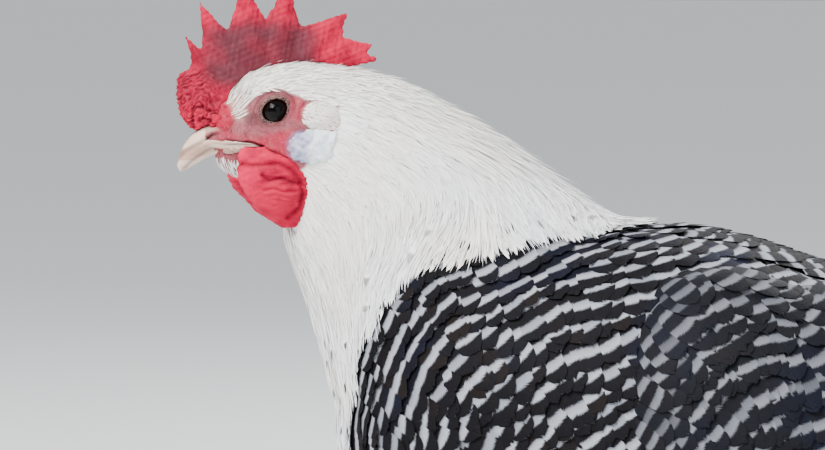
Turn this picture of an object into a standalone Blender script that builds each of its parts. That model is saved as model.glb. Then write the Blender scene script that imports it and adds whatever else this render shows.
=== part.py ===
"""A life-size hen with a white feathered neck and a barred body, standing still and looking to its left.

Lengths are millimetres until a mesh is made. The hen faces -X, its left side is -Y, up is +Z and the
floor is z = 0. Shapes of the head and neck are given from the eye, and those of the body from the origin.
"""

import math

import bmesh
import bpy
import numpy as np

MM = 0.001
GAP = 0.3
SIDES = {"left": -1, "right": 1}

# Driving sizes and places
MIDDLE_X = 7.65
EYE_X = -159.6
EYE_HEIGHT = 338.0
HEAD_TURN = 16.0
TURN_AXIS_X = -82.0
TURN_FROM_HEIGHT = 250.0
TURN_TO_HEIGHT = 335.0
HEAD_NECK_SPLIT = 6.35
EYE_RADIUS = 6.2
EYE_OUT = 10.6
LID_RADIUS = 5.4
HOCK = (22.0, 40.0, 95.0)
BALL = (-3.0, 41.0, 8.0)
PALM_RADIUS = 12.5
TOE_ROOT_REACH = 9.6
CLAW_LENGTH = 11.5
TAIL_ROOT = (103.0, 0.0, 247.0)
TAIL_PAIRS = 6
TAIL_FEATHER_LENGTH = 112.0
WING_CENTRE = (18.0, 17.0)
WING_REACH = (34.0, 44.0)
VANE_THICKNESS = 0.9
WATTLE_FOLD = 0.55

COLOURS = {
    "white_plumage": ((0.82, 0.80, 0.76), 0.8),
    "barred_plumage": ((0.09, 0.09, 0.11), 0.6),
    "red_skin": ((0.62, 0.06, 0.08), 0.5),
    "pink_face": ((0.70, 0.36, 0.34), 0.6),
    "white_lobe": ((0.78, 0.82, 0.86), 0.5),
    "horn": ((0.62, 0.52, 0.46), 0.4),
    "eye": ((0.02, 0.015, 0.012), 0.1),
    "slate_leg": ((0.22, 0.25, 0.29), 0.55),
}

# Head and neck, from the eye: throat x and z, nape x and z, half width
NECK_STATIONS = (
    (-21, -19, -21, -3, 6.0),
    (-16, -22.5, -17, 5, 8.8),
    (-10, -26, -11, 12.5, 12.2),
    (-2, -30, -3, 16, 15.2),
    (4, -34.5, 10, 17.5, 17.3),
    (5, -39.5, 27, 15.5, 19.3),
    (4, -46.5, 46, 10.5, 22.5),
    (7, -56, 62, 2, 27.0),
    (12, -70, 80, -9, 33.0),
    (18, -87, 97, -21.5, 40.0),
    (22.5, -103, 112, -32.5, 47.0),
    (29, -118, 127, -41.5, 52.0),
    (46, -133, 139, -54, 46.0),
)
# Torso, from the origin: x, top, bottom, half width
TORSO_STATIONS = (
    (-134, 229, 213, 8),
    (-131.5, 243, 202, 20),
    (-125, 259, 190, 33),
    (-114, 274, 177, 46),
    (-98, 285, 165, 58),
    (-76, 291, 155, 67),
    (-50, 295.5, 148, 72),
    (-25, 297.5, 145, 74),
    (0, 296, 145, 73),
    (25, 289.5, 147, 70),
    (50, 281, 154, 63),
    (72, 274, 166, 53),
    (90, 269, 183, 42),
    (103, 267, 203, 31),
)
# Rump that carries the tail, from the origin: the same four sizes
RUMP_STATIONS = (
    (103, 267, 203, 31),
    (113, 269, 216, 26),
    (123, 272, 231, 20),
    (132, 275, 246, 13),
    (138, 276, 258, 7),
)
# What the folded wing lies on: the torso, narrowing more slowly towards the tail
WING_BED = (
    (-50, 295.5, 148, 72),
    (-25, 297.5, 145, 74),
    (0, 296, 146, 74),
    (25, 287, 150, 71),
    (50, 277, 158, 65),
    (75, 267, 168, 57.5),
    (100, 259, 178, 49),
    (125, 252, 187, 41),
    (150, 246, 196, 34),
)
# Where a feather has its rings, and its width there as a share of the widest
FEATHER_RINGS = np.array((0.0, 0.4, 0.78, 0.94, 1.0))
FEATHER_WIDTHS = np.array((0.4, 0.92, 1.0, 0.72, 0.26))


def catmull(rows, at):
    """The rows of numbers read smoothly at the places in at, where row 2 is read at 2.0."""
    rows = np.asarray(rows, float)
    last = len(rows) - 1
    low = np.clip(np.floor(at).astype(int), 0, last - 1)
    part = (np.asarray(at, float) - low)[:, None]
    a, b, c, d = (rows[np.clip(low + k, 0, last)] for k in (-1, 0, 1, 2))
    slope = (c - a) * part
    curve = (2 * a - 5 * b + 4 * c - d) * part**2
    twist = (3 * b - a - 3 * c + d) * part**3
    return b + 0.5 * (slope + curve + twist)


def signed_power(value, power):
    return np.sign(value) * np.abs(value) ** power


def section(middle, across, up, sides, squareness=2.2):
    """A closed ring of points round middle, reaching to across and up, a little squarer than an ellipse."""
    angle = np.linspace(0, 2 * math.pi, sides, endpoint=False)
    wide = signed_power(np.cos(angle), 2 / squareness)[:, None]
    high = signed_power(np.sin(angle), 2 / squareness)[:, None]
    return np.asarray(middle) + wide * np.asarray(across) + high * np.asarray(up)


def lofted(rings):
    """A closed mesh through rings of equal count, with a fan on each end: its points and its faces."""
    count, sides = len(rings), len(rings[0])
    points = np.concatenate([*rings, [rings[0].mean(0)], [rings[-1].mean(0)]])
    faces = []
    for i in range(count - 1):
        for j in range(sides):
            k = (j + 1) % sides
            a, b = i * sides + j, i * sides + k
            faces.append((a, b, b + sides, a + sides))
    first, last = count * sides, count * sides + 1
    for j in range(sides):
        k = (j + 1) % sides
        faces.append((first, k, j))
        faces.append((last, (count - 1) * sides + j, (count - 1) * sides + k))
    return points, faces


def from_eye(points):
    """Points given from the eye, moved to where they are on the hen."""
    return np.asarray(points, float) + (EYE_X, 0, EYE_HEIGHT)


def turned(points):
    """Points of the head and neck, swung to the hen's left by more the higher they are."""
    points = np.array(points, float)
    rise = (points[:, 2] - TURN_FROM_HEIGHT) / (TURN_TO_HEIGHT - TURN_FROM_HEIGHT)
    rise = np.clip(rise, 0, 1)
    angle = np.radians(HEAD_TURN) * rise * rise * (3 - 2 * rise)
    x, y = points[:, 0] - TURN_AXIS_X, points[:, 1].copy()
    points[:, 0] = TURN_AXIS_X + x * np.cos(angle) - y * np.sin(angle)
    points[:, 1] = x * np.sin(angle) + y * np.cos(angle)
    return points


def neck_rings(start, end, count, sides=20, grow=0.0):
    """Rings of the head and neck between two stations, each size grown by grow."""
    rings = []
    for row in catmull(NECK_STATIONS, np.linspace(start, end, count)):
        throat, nape = np.array((row[0], 0, row[1])), np.array((row[2], 0, row[3]))
        up = (nape - throat) / 2
        up *= 1 + grow / np.linalg.norm(up)
        ring = section((throat + nape) / 2, (0, row[4] + grow, 0), up, sides)
        rings.append(from_eye(ring))
    return rings


def head_shape(grow=0.0):
    rings = neck_rings(0, HEAD_NECK_SPLIT, 14, 20, grow)
    rings[0][:, 0] -= grow
    return lofted(rings)


def trunk_rings(stations, count, sides, grow=0.0, squareness=2.3):
    """Upright rings along a table of x, top, bottom and half width."""
    rings = []
    for x, top, bottom, half_width in catmull(stations, np.linspace(0, len(stations) - 1, count)):
        middle, up = (x, 0, (top + bottom) / 2), (0, 0, (top - bottom) / 2 + grow)
        rings.append(section(middle, (0, half_width + grow, 0), up, sides, squareness))
    return rings


def torso_shape(grow=0.0):
    rings = trunk_rings(TORSO_STATIONS, 20, 24, grow)
    rings[0][:, 0] -= grow
    rings[-1][:, 0] += grow
    return lofted(rings)


def beside(x, angle, lift, side):
    """Points on the bed of the folded wing at x and at an angle in degrees above level, lifted outwards."""
    stations = np.array(WING_BED)
    spots = np.interp(x, stations[:, 0], np.arange(len(stations)))
    rows = catmull(stations, np.atleast_1d(spots))
    turn = np.radians(np.atleast_1d(angle))
    half_height = (rows[:, 1] - rows[:, 2]) / 2
    across = signed_power(np.cos(turn), 2 / 2.3)
    up = signed_power(np.sin(turn), 2 / 2.3)
    y = rows[:, 3] * across
    z = (rows[:, 1] + rows[:, 2]) / 2 + half_height * up
    outward = np.stack([0 * y, np.cos(turn), np.sin(turn)], 1)
    outward[:, 1] /= rows[:, 3]
    outward[:, 2] /= half_height
    outward /= np.linalg.norm(outward, axis=1)[:, None]
    points = np.stack([rows[:, 0], y, z], 1) + outward * np.atleast_1d(lift)[:, None]
    mirror = np.array((1, side, 1))
    return points * mirror, outward * mirror


def vane(line, outward, half_widths, thick, tilt):
    """A feather's closed vane along a line: a low ridge down its middle, tilted so that one edge stands
    out. Both faces are split into triangles alike."""
    line, outward = np.asarray(line, float), np.asarray(outward, float)
    along = np.gradient(line, axis=0)
    across = np.cross(along, outward)
    across /= np.linalg.norm(across, axis=1)[:, None]
    width = np.asarray(half_widths)[:, None]
    edge_lift = outward * width * tilt
    left, right = line - across * width - edge_lift, line + across * width + edge_lift
    ridge = line + outward * 0.35 * thick
    upper = np.stack([left, ridge, right], 1) + outward[:, None] * thick / 2
    lower = np.stack([left, ridge, right], 1) - outward[:, None] * thick / 2
    count = len(line)
    points = np.concatenate([upper.reshape(-1, 3), lower.reshape(-1, 3)])
    under = 3 * count
    faces = []
    for i in range(count - 1):
        for j in range(2):
            a, b, c, d = 3 * i + j, 3 * i + j + 1, 3 * i + j + 4, 3 * i + j + 3
            faces += [(a, b, c), (a, c, d)]
            faces += [(under + a, under + c, under + b), (under + a, under + d, under + c)]
        for a, b in ((3 * i, 3 * i + 3), (3 * i + 5, 3 * i + 2)):
            faces += [(a, b, under + b), (a, under + b, under + a)]
    for row, order in ((0, 1), (count - 1, -1)):
        a, b, c = 3 * row, 3 * row + 1, 3 * row + 2
        for p, q in ((a, b), (b, c)):
            for face in ((q, p, under + p), (q, under + p, under + q)):
                faces.append(face[::order])
    return points, faces


def closed_object(name, shape):
    """An object from points in millimetres and faces, with its faces pointing out."""
    points, faces = shape
    mesh = bpy.data.meshes.new(name)
    centred = np.asarray(points) - (MIDDLE_X, 0, 0)
    mesh.from_pydata((centred * MM).tolist(), [], [tuple(face) for face in faces])
    made = bmesh.new()
    made.from_mesh(mesh)
    bmesh.ops.recalc_face_normals(made, faces=made.faces)
    if made.calc_volume(signed=True) < 0:
        bmesh.ops.reverse_faces(made, faces=made.faces)
    made.to_mesh(mesh)
    made.free()
    made_object = bpy.data.objects.new(name, mesh)
    bpy.context.scene.collection.objects.link(made_object)
    return made_object


def with_modifiers_applied(made_object):
    bpy.context.view_layer.update()
    graph = bpy.context.evaluated_depsgraph_get()
    mesh = bpy.data.meshes.new_from_object(made_object.evaluated_get(graph))
    made_object.modifiers.clear()
    old = made_object.data
    made_object.data = mesh
    bpy.data.meshes.remove(old)


def keep_largest(made_object):
    """Keeps the one closed surface that holds the most, and drops scraps and sealed hollows."""
    made = bmesh.new()
    made.from_mesh(made_object.data)
    left, surfaces = set(made.faces), []
    while left:
        found, edge_of_search = set(), [left.pop()]
        while edge_of_search:
            face = edge_of_search.pop()
            found.add(face)
            near = {other for edge in face.edges for other in edge.link_faces} & left
            left -= near
            edge_of_search += near
        surfaces.append(found)

    def volume(faces):
        corners = ([v.co for v in face.verts] for face in faces)
        return sum(
            c[0].dot(c[k].cross(c[k + 1])) for c in corners for k in range(1, len(c) - 1)
        )

    largest = max(surfaces, key=volume)
    loose = [face for faces in surfaces if faces is not largest for face in faces]
    bmesh.ops.delete(made, geom=loose, context="FACES")
    made.to_mesh(made_object.data)
    made.free()


def part(name, slot, pieces, cuts=()):
    """One node: the closed shapes joined into one body, less the shapes in cuts."""
    made_object = closed_object(name, pieces[0])
    for operation, shapes in (("UNION", pieces[1:]), ("DIFFERENCE", cuts)):
        if not shapes:
            continue
        others = bpy.data.collections.new(operation)
        bpy.context.scene.collection.children.link(others)
        for shape in shapes:
            other = closed_object("piece", shape)
            bpy.context.scene.collection.objects.unlink(other)
            others.objects.link(other)
        modifier = made_object.modifiers.new(operation, "BOOLEAN")
        modifier.operation = operation
        modifier.operand_type = "COLLECTION"
        modifier.collection = others
        modifier.solver = "EXACT"
        with_modifiers_applied(made_object)
        for other in list(others.objects):
            bpy.data.objects.remove(other)
        bpy.data.collections.remove(others)
    keep_largest(made_object)
    made_object.data.materials.clear()
    made_object.data.materials.append(finish(slot))
    made_object.data.shade_smooth()
    made_object.data.set_sharp_from_angle(angle=math.radians(40))


def finish(slot):
    """The material of a slot, made once."""
    if slot in bpy.data.materials:
        return bpy.data.materials[slot]
    colour, roughness = COLOURS[slot]
    material = bpy.data.materials.new(slot)
    material.use_nodes = True
    shader = material.node_tree.nodes["Principled BSDF"]
    shader.inputs["Base Color"].default_value = (*colour, 1)
    shader.inputs["Roughness"].default_value = roughness
    shader.inputs["Metallic"].default_value = 0.0
    return material


def turned_shape(shape):
    return turned(shape[0]), shape[1]


def round_the_head():
    """Slightly grown shapes of the head, to cut what lies against it."""
    shapes = [head_shape(GAP), cheek_fold(GAP)]
    shapes += [lid_ring(side, GAP) for side in SIDES.values()]
    return [turned_shape(shape) for shape in shapes]


def ball(centre, radii, rings=8, sides=12):
    """A closed ellipsoid whose poles lie along Y."""
    made = []
    for latitude in np.linspace(-0.49, 0.49, rings) * math.pi:
        middle = np.array(centre) + (0, radii[1] * math.sin(latitude), 0)
        reach = math.cos(latitude)
        ring = section(middle, (radii[0] * reach, 0, 0), (0, 0, radii[2] * reach), sides, 2)
        made.append(ring)
    return lofted(made)


def lid_ring(side, grow=0.0):
    """The rim of both lids: a ring round the opening, a little longer than it is high."""
    around, tube, thick = 14, 5, 1.25 + grow
    opening = (LID_RADIUS, LID_RADIUS * 0.9)
    points, faces = [], []
    for i in range(around):
        turn = 2 * math.pi * i / around
        outward = np.array((math.cos(turn), 0, math.sin(turn)))
        centre = np.array((opening[0] * outward[0], side * 15.0, opening[1] * outward[2]))
        for j in range(tube):
            roll = 2 * math.pi * j / tube
            towards = math.cos(roll) * outward + (0, math.sin(roll), 0)
            points.append(centre + thick * towards)
            a, b = i * tube + j, i * tube + (j + 1) % tube
            c = (i + 1) % around * tube
            faces.append((a, b, c + (j + 1) % tube, c + j))
    return from_eye(points), faces


def mouth_slot():
    """The thin wedge between the jaws, from the bill back to the corner of the mouth."""
    line = ((-23, -17.2), (-19, -14.9), (-15, -13.8), (-10, -13.2), (-6, -13.2))
    rings = []
    for x, z in line:
        half = 0.45 if x < -6 else 0.2
        rings.append(from_eye(section((x, 0, z), (0, 20, 0), (0, 0, half), 8, 4)))
    return lofted(rings)


def cheek_fold(grow=0.0):
    """The flesh that rises behind the corner of the mouth on both sides."""
    return ball(from_eye([(-4, 0, -14)])[0], (4.5 + grow, 14.6 + grow, 3.2 + grow), 8, 10)


def make_head():
    eye_sockets = [
        turned_shape(ball(from_eye([(0.4, side * EYE_OUT, 0)])[0], (EYE_RADIUS + GAP,) * 3))
        for side in SIDES.values()
    ]
    pieces = [turned_shape(head_shape())]
    pieces += [turned_shape(lid_ring(side)) for side in SIDES.values()]
    pieces.append(turned_shape(cheek_fold()))
    part("head", "pink_face", pieces, [*eye_sockets, turned_shape(mouth_slot())])
    for name, side in SIDES.items():
        eye = ball(from_eye([(0.4, side * EYE_OUT, 0)])[0], (EYE_RADIUS,) * 3, 8, 12)
        part(f"eye_{name}", "eye", [turned_shape(eye)])


def make_neck():
    gap_in_stations = 0.018
    rings = neck_rings(HEAD_NECK_SPLIT + gap_in_stations, 12, 14, 20)
    part("neck", "white_plumage", [turned_shape(lofted(rings))])


# Bill, from the eye: ridge x and z, cutting edge x and z, half width
UPPER_BILL = (
    (-15, -3.5, -12, -13.4, 7.2),
    (-23, -4.6, -18.5, -14.4, 6.6),
    (-29, -7.4, -24, -16.8, 5.6),
    (-33, -11.2, -28.5, -19.2, 4.4),
    (-35.6, -15.8, -32.4, -21.2, 2.9),
    (-36.8, -20, -35.2, -22.5, 1.2),
)
LOWER_BILL = (
    (-12, -14.4, -12, -18.8, 5.6),
    (-18.5, -15.4, -18, -19.4, 5.2),
    (-24, -17.9, -23.5, -20.6, 4.3),
    (-28.3, -20.1, -28, -21.8, 3.0),
    (-31.2, -21.9, -31, -22.8, 1.6),
)


def bill_shape(rows, grow=0.0):
    rings = []
    for ridge_x, ridge_z, edge_x, edge_z, half in catmull(rows, np.linspace(0, len(rows) - 1, 10)):
        ridge, edge = np.array((ridge_x, 0, ridge_z)), np.array((edge_x, 0, edge_z))
        up = (ridge - edge) / 2
        up *= 1 + grow / np.linalg.norm(up)
        ring = section((ridge + edge) / 2, (0, half + grow, 0), up, 12, 2.1)
        rings.append(from_eye(ring))
    return turned_shape(lofted(rings))


def make_bill():
    """Upper and lower bill, from the flesh to their tips, with the nostrils let into the upper one."""
    nostrils = []
    for side in SIDES.values():
        nostril = ball(from_eye([(-21.8, side * 6.2, -7.4)])[0], (2.4, 1.4, 0.9), 6, 8)
        nostrils.append(turned_shape(nostril))
    part("beak_upper", "horn", [bill_shape(UPPER_BILL)], [*round_the_head(), *nostrils])
    part("beak_lower", "horn", [bill_shape(LOWER_BILL)], round_the_head())


def comb_outline():
    """The comb's free edge from the bill round over its points to the nape, from the eye."""
    points_and_dips = (
        ((-31.8, 27), (-25.6, 21.2)),
        ((-26.5, 39.2), (-16.5, 28.9)),
        ((-10.5, 48), (-2.5, 32)),
        ((5, 49), (10.1, 30.3)),
        ((27.3, 35.5), (25.3, 26.4)),
        ((36.2, 23.8), (34.2, 20)),
    )
    front = [(-27.9, -8), (-31.2, -5.4), (-33.6, -1.5), (-34.8, 3.5), (-34.9, 9), (-34, 13.6), (-30.4, 15.2)]
    rear = [(34.2, 20), (38, 18.9), (37.4, 17.4), (33.4, 16.6), (29, 15.8), (21.8, 14.6), (14, 14.8)]
    outline = list(front)
    here = np.array((-29.2, 17.2))
    for tip, dip in points_and_dips:
        tip, dip = np.array(tip), np.array(dip)
        inward = (dip + here) / 2 - tip
        inward /= np.linalg.norm(inward)
        for start, end, bow in ((here, tip, 0.075), (tip, dip, 0.045)):
            half_way = (start + end) / 2 + inward * bow * np.linalg.norm(end - start)
            outline += [tuple(start), tuple(half_way)]
        here = dip
    return np.array(outline + rear)


def comb_shape():
    """A blade that is thick where it leaves the skull and thins towards its free edge."""
    free = comb_outline()
    count = len(free)
    skull = ((-24, -9), (-21, -3), (-16, 4), (-9, 11), (-2, 13), (5, 14), (9, 14), (11, 13.6), (12, 13.2))
    foot = catmull(skull, np.linspace(0, len(skull) - 1, count))
    levels = np.array((0.0, 0.35, 0.7, 1.0))
    half_thickness = np.array((4.3, 3.3, 1.8, 0.75))
    spots = foot[:, None] + (free - foot)[:, None] * levels[None, :, None]
    rear = np.clip((spots[..., 0] + 4) / 30, 0, 1)
    half = half_thickness[None, :] * (1 - 0.45 * rear)
    lean = 1.2 * np.sin(spots[..., 0] / 9.0) * levels[None, :]
    near, far = lean - half, lean + half
    points, per = [], count * len(levels)
    for sheet in (near, far):
        points.append(np.stack([spots[..., 0], sheet, spots[..., 1]], 2).reshape(-1, 3))
    points = from_eye(np.concatenate(points))
    rows, faces = len(levels), []
    for i in range(count - 1):
        for j in range(rows - 1):
            a, b = i * rows + j, (i + 1) * rows + j
            faces += [(a, b, b + 1), (a, b + 1, a + 1)]
            faces += [(per + a, per + b + 1, per + b), (per + a, per + a + 1, per + b + 1)]
    rim = [i * rows for i in range(count)]
    rim += [(count - 1) * rows + j for j in range(1, rows)]
    rim += [i * rows + rows - 1 for i in range(count - 2, -1, -1)]
    rim += [j for j in range(rows - 2, 0, -1)]
    for a, b in zip(rim, rim[1:] + rim[:1]):
        faces += [(a, per + a, per + b), (a, per + b, b)]
    return points, faces


def make_comb():
    cuts = [*round_the_head(), bill_shape(UPPER_BILL, GAP)]
    part("comb", "red_skin", [turned_shape(comb_shape())], cuts)


def make_wattles_and_lobes():
    """Each wattle hangs as a flat folded pear from the jaw, and each ear lobe lies on the cheek."""
    # From the eye: height, front and back edge, half thickness, and how far out the middle is
    wattle = (
        (-13.0, -12.6, 1.0, 2.0, 12.8),
        (-17.0, -14.0, 8.5, 2.4, 14.2),
        (-22.5, -13.6, 13.6, 2.5, 15.6),
        (-30.0, -10.2, 15.0, 2.7, 16.0),
        (-36.5, -5.6, 13.6, 2.6, 15.4),
        (-41.2, -0.4, 10.6, 2.1, 14.6),
        (-43.4, 3.4, 7.4, 1.2, 14.2),
    )
    for name, side in SIDES.items():
        rings, wider_rings = [], []
        for z, front, back, half, out in catmull(wattle, np.linspace(0, len(wattle) - 1, 9)):
            middle, reach = ((front + back) / 2, side * out, z), (back - front) / 2
            for made, grow in ((rings, 0.0), (wider_rings, GAP)):
                ring = section(middle, (reach + grow, 0, 0), (0, half + grow, 0), 12)
                ring[:, 1] += WATTLE_FOLD * np.sin(0.75 * ring[:, 0] + 0.25 * z)
                made.append(from_eye(ring) + (0, 0, grow))
        part(f"wattle_{name}", "red_skin", [turned_shape(lofted(rings))], round_the_head())
        around_wattle = turned_shape(lofted(wider_rings))
        lobe = ball(from_eye([(14.2, side * 17.2, -12.6)])[0], (10.2, 3.8, 7.0), 8, 12)
        part(f"earlobe_{name}", "white_lobe", [turned_shape(lobe)], [*round_the_head(), around_wattle])


def make_torso():
    grown_neck = lofted(neck_rings(HEAD_NECK_SPLIT, 12.006, 14, 20, GAP))
    part("torso", "barred_plumage", [torso_shape()], [turned_shape(grown_neck)])


def wing_pad(side):
    """The rounded front of the folded wing, where its small coverts lie."""
    rings_out, around = (1.0, 0.84, 0.5), 18
    height, rim, sunk = 9.0, 3.0, -3.0
    sheets = []
    for outer in (True, False):
        rows = []
        for r in rings_out:
            turn = np.linspace(0, 2 * math.pi, around, endpoint=False)
            x = WING_CENTRE[0] + WING_REACH[0] * r * signed_power(np.cos(turn), 0.92)
            angle = WING_CENTRE[1] + WING_REACH[1] * r * signed_power(np.sin(turn), 0.8)
            dome = rim + (height - rim) * math.sqrt(1 - r * r)
            rows.append(beside(x, angle, np.full(around, dome if outer else sunk), side)[0])
        sheets.append(rows)
    points, faces = lofted([*sheets[1][::-1], *sheets[0]])
    points[-2], points[-1] = (beside(*WING_CENTRE, level, side)[0][0] for level in (sunk, height))
    return points, faces


# Tiers of wing feathers: count, then for the topmost and the lowest feather x and angle of the root and
# of the tip, and the half width; then the lift off the bed at root and tip, and the tilt
WING_TIERS = {
    "primary": (4, (52, -6, 136, 17, 7.6), (50, -25, 98, -7, 7.6), (2.2, 2.2), 0.13),
    "secondary": (6, (46, 44, 106, 38, 11.2), (42, -20, 98, 0, 10.8), (4.4, 4.6), 0.12),
    "greater": (5, (30, 46, 68, 44, 12.6), (26, -20, 64, -10, 12.0), (6.6, 7.2), 0.11),
    "median": (4, (10, 44, 38, 46, 14.0), (10, -14, 36, -14, 13.4), (8.2, 10.2), 0.09),
    "tertial": (2, (38, 61, 94, 55, 10.5), (36, 49, 100, 45, 10.0), (6.2, 6.6), 0.10),
}


def wing_vanes(side):
    """The tiers of quills and coverts, each laid along the bed from its root to its tip."""
    vanes = []
    for count, top, low, lifts, tilt in WING_TIERS.values():
        for k in range(count):
            share = k / max(count - 1, 1)
            root_x, root_angle, tip_x, tip_angle, half = np.array(top) + share * (np.array(low) - top)
            tip_x += 5 * math.sin(math.pi * share) + 1.5 * math.sin(7 * k)
            x = root_x + (tip_x - root_x) * FEATHER_RINGS
            angle = root_angle + (tip_angle - root_angle) * FEATHER_RINGS
            lift = lifts[0] + (lifts[1] - lifts[0]) * FEATHER_RINGS
            line, outward = beside(x, angle, lift, side)
            vanes.append(vane(line, outward, half * FEATHER_WIDTHS, VANE_THICKNESS, -side * tilt))
    return vanes


def make_wings():
    for name, side in SIDES.items():
        part(
            f"wing_{name}",
            "barred_plumage",
            [wing_pad(side), *wing_vanes(side)],
            [torso_shape(GAP)],
        )


def tail_feather(side, share, length, root_lift, tilt, half_width):
    """One quill of the roof-shaped tail: share 0 is the middle pair on the ridge, 1 the outermost."""
    rise = math.radians(57 - 33 * share)
    splay = math.radians(3.5 + 7.5 * share)
    root = np.array(TAIL_ROOT) + (10 + 6 * share, side * (3.0 + 9 * share), 14 - 22 * share)
    ahead = np.array((math.cos(rise), side * math.tan(splay), math.sin(rise))) * math.cos(splay)
    roof = math.radians(52 - 40 * share)
    over = np.array((-math.sin(rise), 0, math.cos(rise)))
    sideways = np.array((0, side * math.cos(roof), 0)) + math.sin(roof) * over
    place = FEATHER_RINGS[:, None]
    sag = 7 * place**2 * (0.4 + 0.6 * share)
    line = root + ahead * length * place + sideways * root_lift - np.array((0, 0, 1)) * sag
    outward = np.repeat(sideways[None], len(line), 0)
    return vane(line, outward, half_width * FEATHER_WIDTHS, VANE_THICKNESS, side * tilt)


def make_tail():
    """The rump with its pairs of tail quills, and a tier of coverts over their roots."""
    pieces = [lofted(trunk_rings(RUMP_STATIONS, 8, 20))]
    for side in SIDES.values():
        for share in np.linspace(0, 1, TAIL_PAIRS):
            length = TAIL_FEATHER_LENGTH * (1 - 0.12 * share)
            pieces.append(tail_feather(side, share, length, 0.0, 0.13, 12.5))
        for share in (0.05, 0.45, 0.85):
            pieces.append(tail_feather(side, share, 66 - 8 * share, 3.2, 0.1, 14.5))
    part("tail", "barred_plumage", pieces, [torso_shape(GAP)])


# Drumstick, from the origin: x, y, z, then half its depth and half its width
THIGH_STATIONS = (
    (-2, 40, 206, 30, 20),
    (4, 41, 180, 32, 22),
    (12, 41, 155, 27, 19.5),
    (18, 40.5, 133, 19, 15),
    (21, 40, 112, 12.5, 11),
    (22, 40, 99, 8.6, 8.2),
)


def thigh_shape(side, grow=0.0):
    rings = []
    for x, y, z, deep, wide in catmull(THIGH_STATIONS, np.linspace(0, len(THIGH_STATIONS) - 1, 10)):
        rings.append(section((x, side * y, z), (deep + grow, 0, 0), (0, wide + grow, 0), 16, 2))
    rings[-1][:, 2] -= grow
    return lofted(rings)


def make_thighs():
    """The feathered drumsticks, from the belly to the hocks."""
    for name, side in SIDES.items():
        part(f"thigh_{name}", "barred_plumage", [thigh_shape(side)], [torso_shape(GAP)])


def scaled_rings(start, end, radii, scutes, sides, step, front):
    """Rings down a leg or toe whose front stands up in overlapping scutes.

    front is the direction that the scutes face, and radii are the sizes along front and across it."""
    start, end, front = (np.asarray(v, float) for v in (start, end, front))
    along = (end - start) / np.linalg.norm(end - start)
    front = front - along * front.dot(along)
    front /= np.linalg.norm(front)
    across = np.cross(along, front)
    angle = np.linspace(0, 2 * math.pi, sides, endpoint=False)
    rings = []
    for k in range(scutes):
        for inner, lift in ((0.0, 0.0), (0.86, step)):
            share = (k + inner) / (scutes - 0.14)
            deep, wide = catmull(radii, np.array([share * (len(radii) - 1)]))[0]
            facing = np.clip(np.cos(angle), 0, 1)[:, None] ** 0.5
            middle = start + (end - start) * share
            ring = middle + np.cos(angle)[:, None] * deep * front + np.sin(angle)[:, None] * wide * across
            rings.append(ring + facing * lift * front)
    return rings


def palm_shape(side, grow=0.0):
    """The ball of the foot, flat where it stands on the floor."""
    rings = []
    for z, reach in ((0, 9.0), (1.4, 11.4), (4.5, PALM_RADIUS), (8.5, 10.8), (11.5, 7.5)):
        middle = (BALL[0] + 0.25 * z, side * BALL[1], z)
        rings.append(section(middle, (reach + grow, 0, 0), (0, reach + grow, 0), 16, 2))
    rings[0][:, 2] -= grow
    return lofted(rings)


def make_shanks():
    """The bare shanks with their front scutes, standing on the palm of the foot."""
    radii = ((7.8, 7.0), (6.0, 5.4), (5.2, 4.9), (5.2, 5.0), (5.7, 5.6), (6.6, 6.4))
    inside_thigh, into_palm = 7.4, 2.0
    for name, side in SIDES.items():
        hock = np.array((HOCK[0], side * HOCK[1], HOCK[2] + inside_thigh))
        ankle = np.array((BALL[0], side * BALL[1], BALL[2] + into_palm))
        leg = lofted(scaled_rings(hock, ankle, radii, 12, 8, 0.8, (-1, 0, 0)))
        part(f"shank_{name}", "slate_leg", [leg, palm_shape(side)], [thigh_shape(side, GAP)])


# Toes: heading in degrees outwards from straight ahead, how far aside the root is, length, count of
# scutes, and size at the root
TOES = {
    "middle": (2, 0.0, 47, 9, 4.4),
    "outer": (38, 1.8, 36, 7, 4.0),
    "inner": (-36, -1.8, 33, 6, 4.1),
    "hind": (172, 0.0, 13, 3, 3.8),
}


def toe_rings(base, heading, length, scutes, size):
    """A toe lying on the floor: flat pads below, scutes above."""
    start = base + (0, 0, size)
    end = base + heading * length + (0, 0, 0.74 * size)
    radii = [(share * size, 0.98 * share * size) for share in (1.0, 0.92, 0.8, 0.62)]
    rings = scaled_rings(start, end, radii, scutes, 8, 0.6, (0, 0, 1))
    for ring in rings:
        low = ring[:, 2] < 0.42 * size
        ring[low, 2] = 0.0
    return rings


def claw_rings(tip_of_toe, heading, size):
    """A short hooked claw that comes down nearly to the floor."""
    rings = []
    for share in np.linspace(0, 1, 5):
        middle = tip_of_toe + heading * CLAW_LENGTH * share
        middle = middle + (0, 0, 0.68 * size + math.sin(math.pi * share) - 1.6 * share)
        reach = 1.8 * (1 - share) ** 0.8 + 0.35
        across = np.cross(heading, (0, 0, 1)) * reach * 0.8
        rings.append(section(middle, across, (0, 0, reach), 6, 2))
    return rings


def make_feet():
    for name, side in SIDES.items():
        centre = np.array((BALL[0], side * BALL[1], 0.0))
        for toe, (outward, aside, length, scutes, size) in TOES.items():
            turn = math.radians(outward)
            heading = np.array((-math.cos(turn), side * math.sin(turn), 0))
            root = centre + heading * TOE_ROOT_REACH + (0, side * aside, 0)
            rings = toe_rings(root, heading, length, scutes, size)
            part(f"toe_{name}_{toe}", "slate_leg", [lofted(rings)], [palm_shape(side, GAP)])
            tip = root + heading * (length + GAP)
            part(f"claw_{name}_{toe}", "horn", [lofted(claw_rings(tip, heading, size))])


def main():
    for old in list(bpy.data.objects):
        bpy.data.objects.remove(old)
    make_head()
    make_neck()
    make_bill()
    make_comb()
    make_wattles_and_lobes()
    make_torso()
    make_wings()
    make_tail()
    make_thighs()
    make_shanks()
    make_feet()


main()
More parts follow.
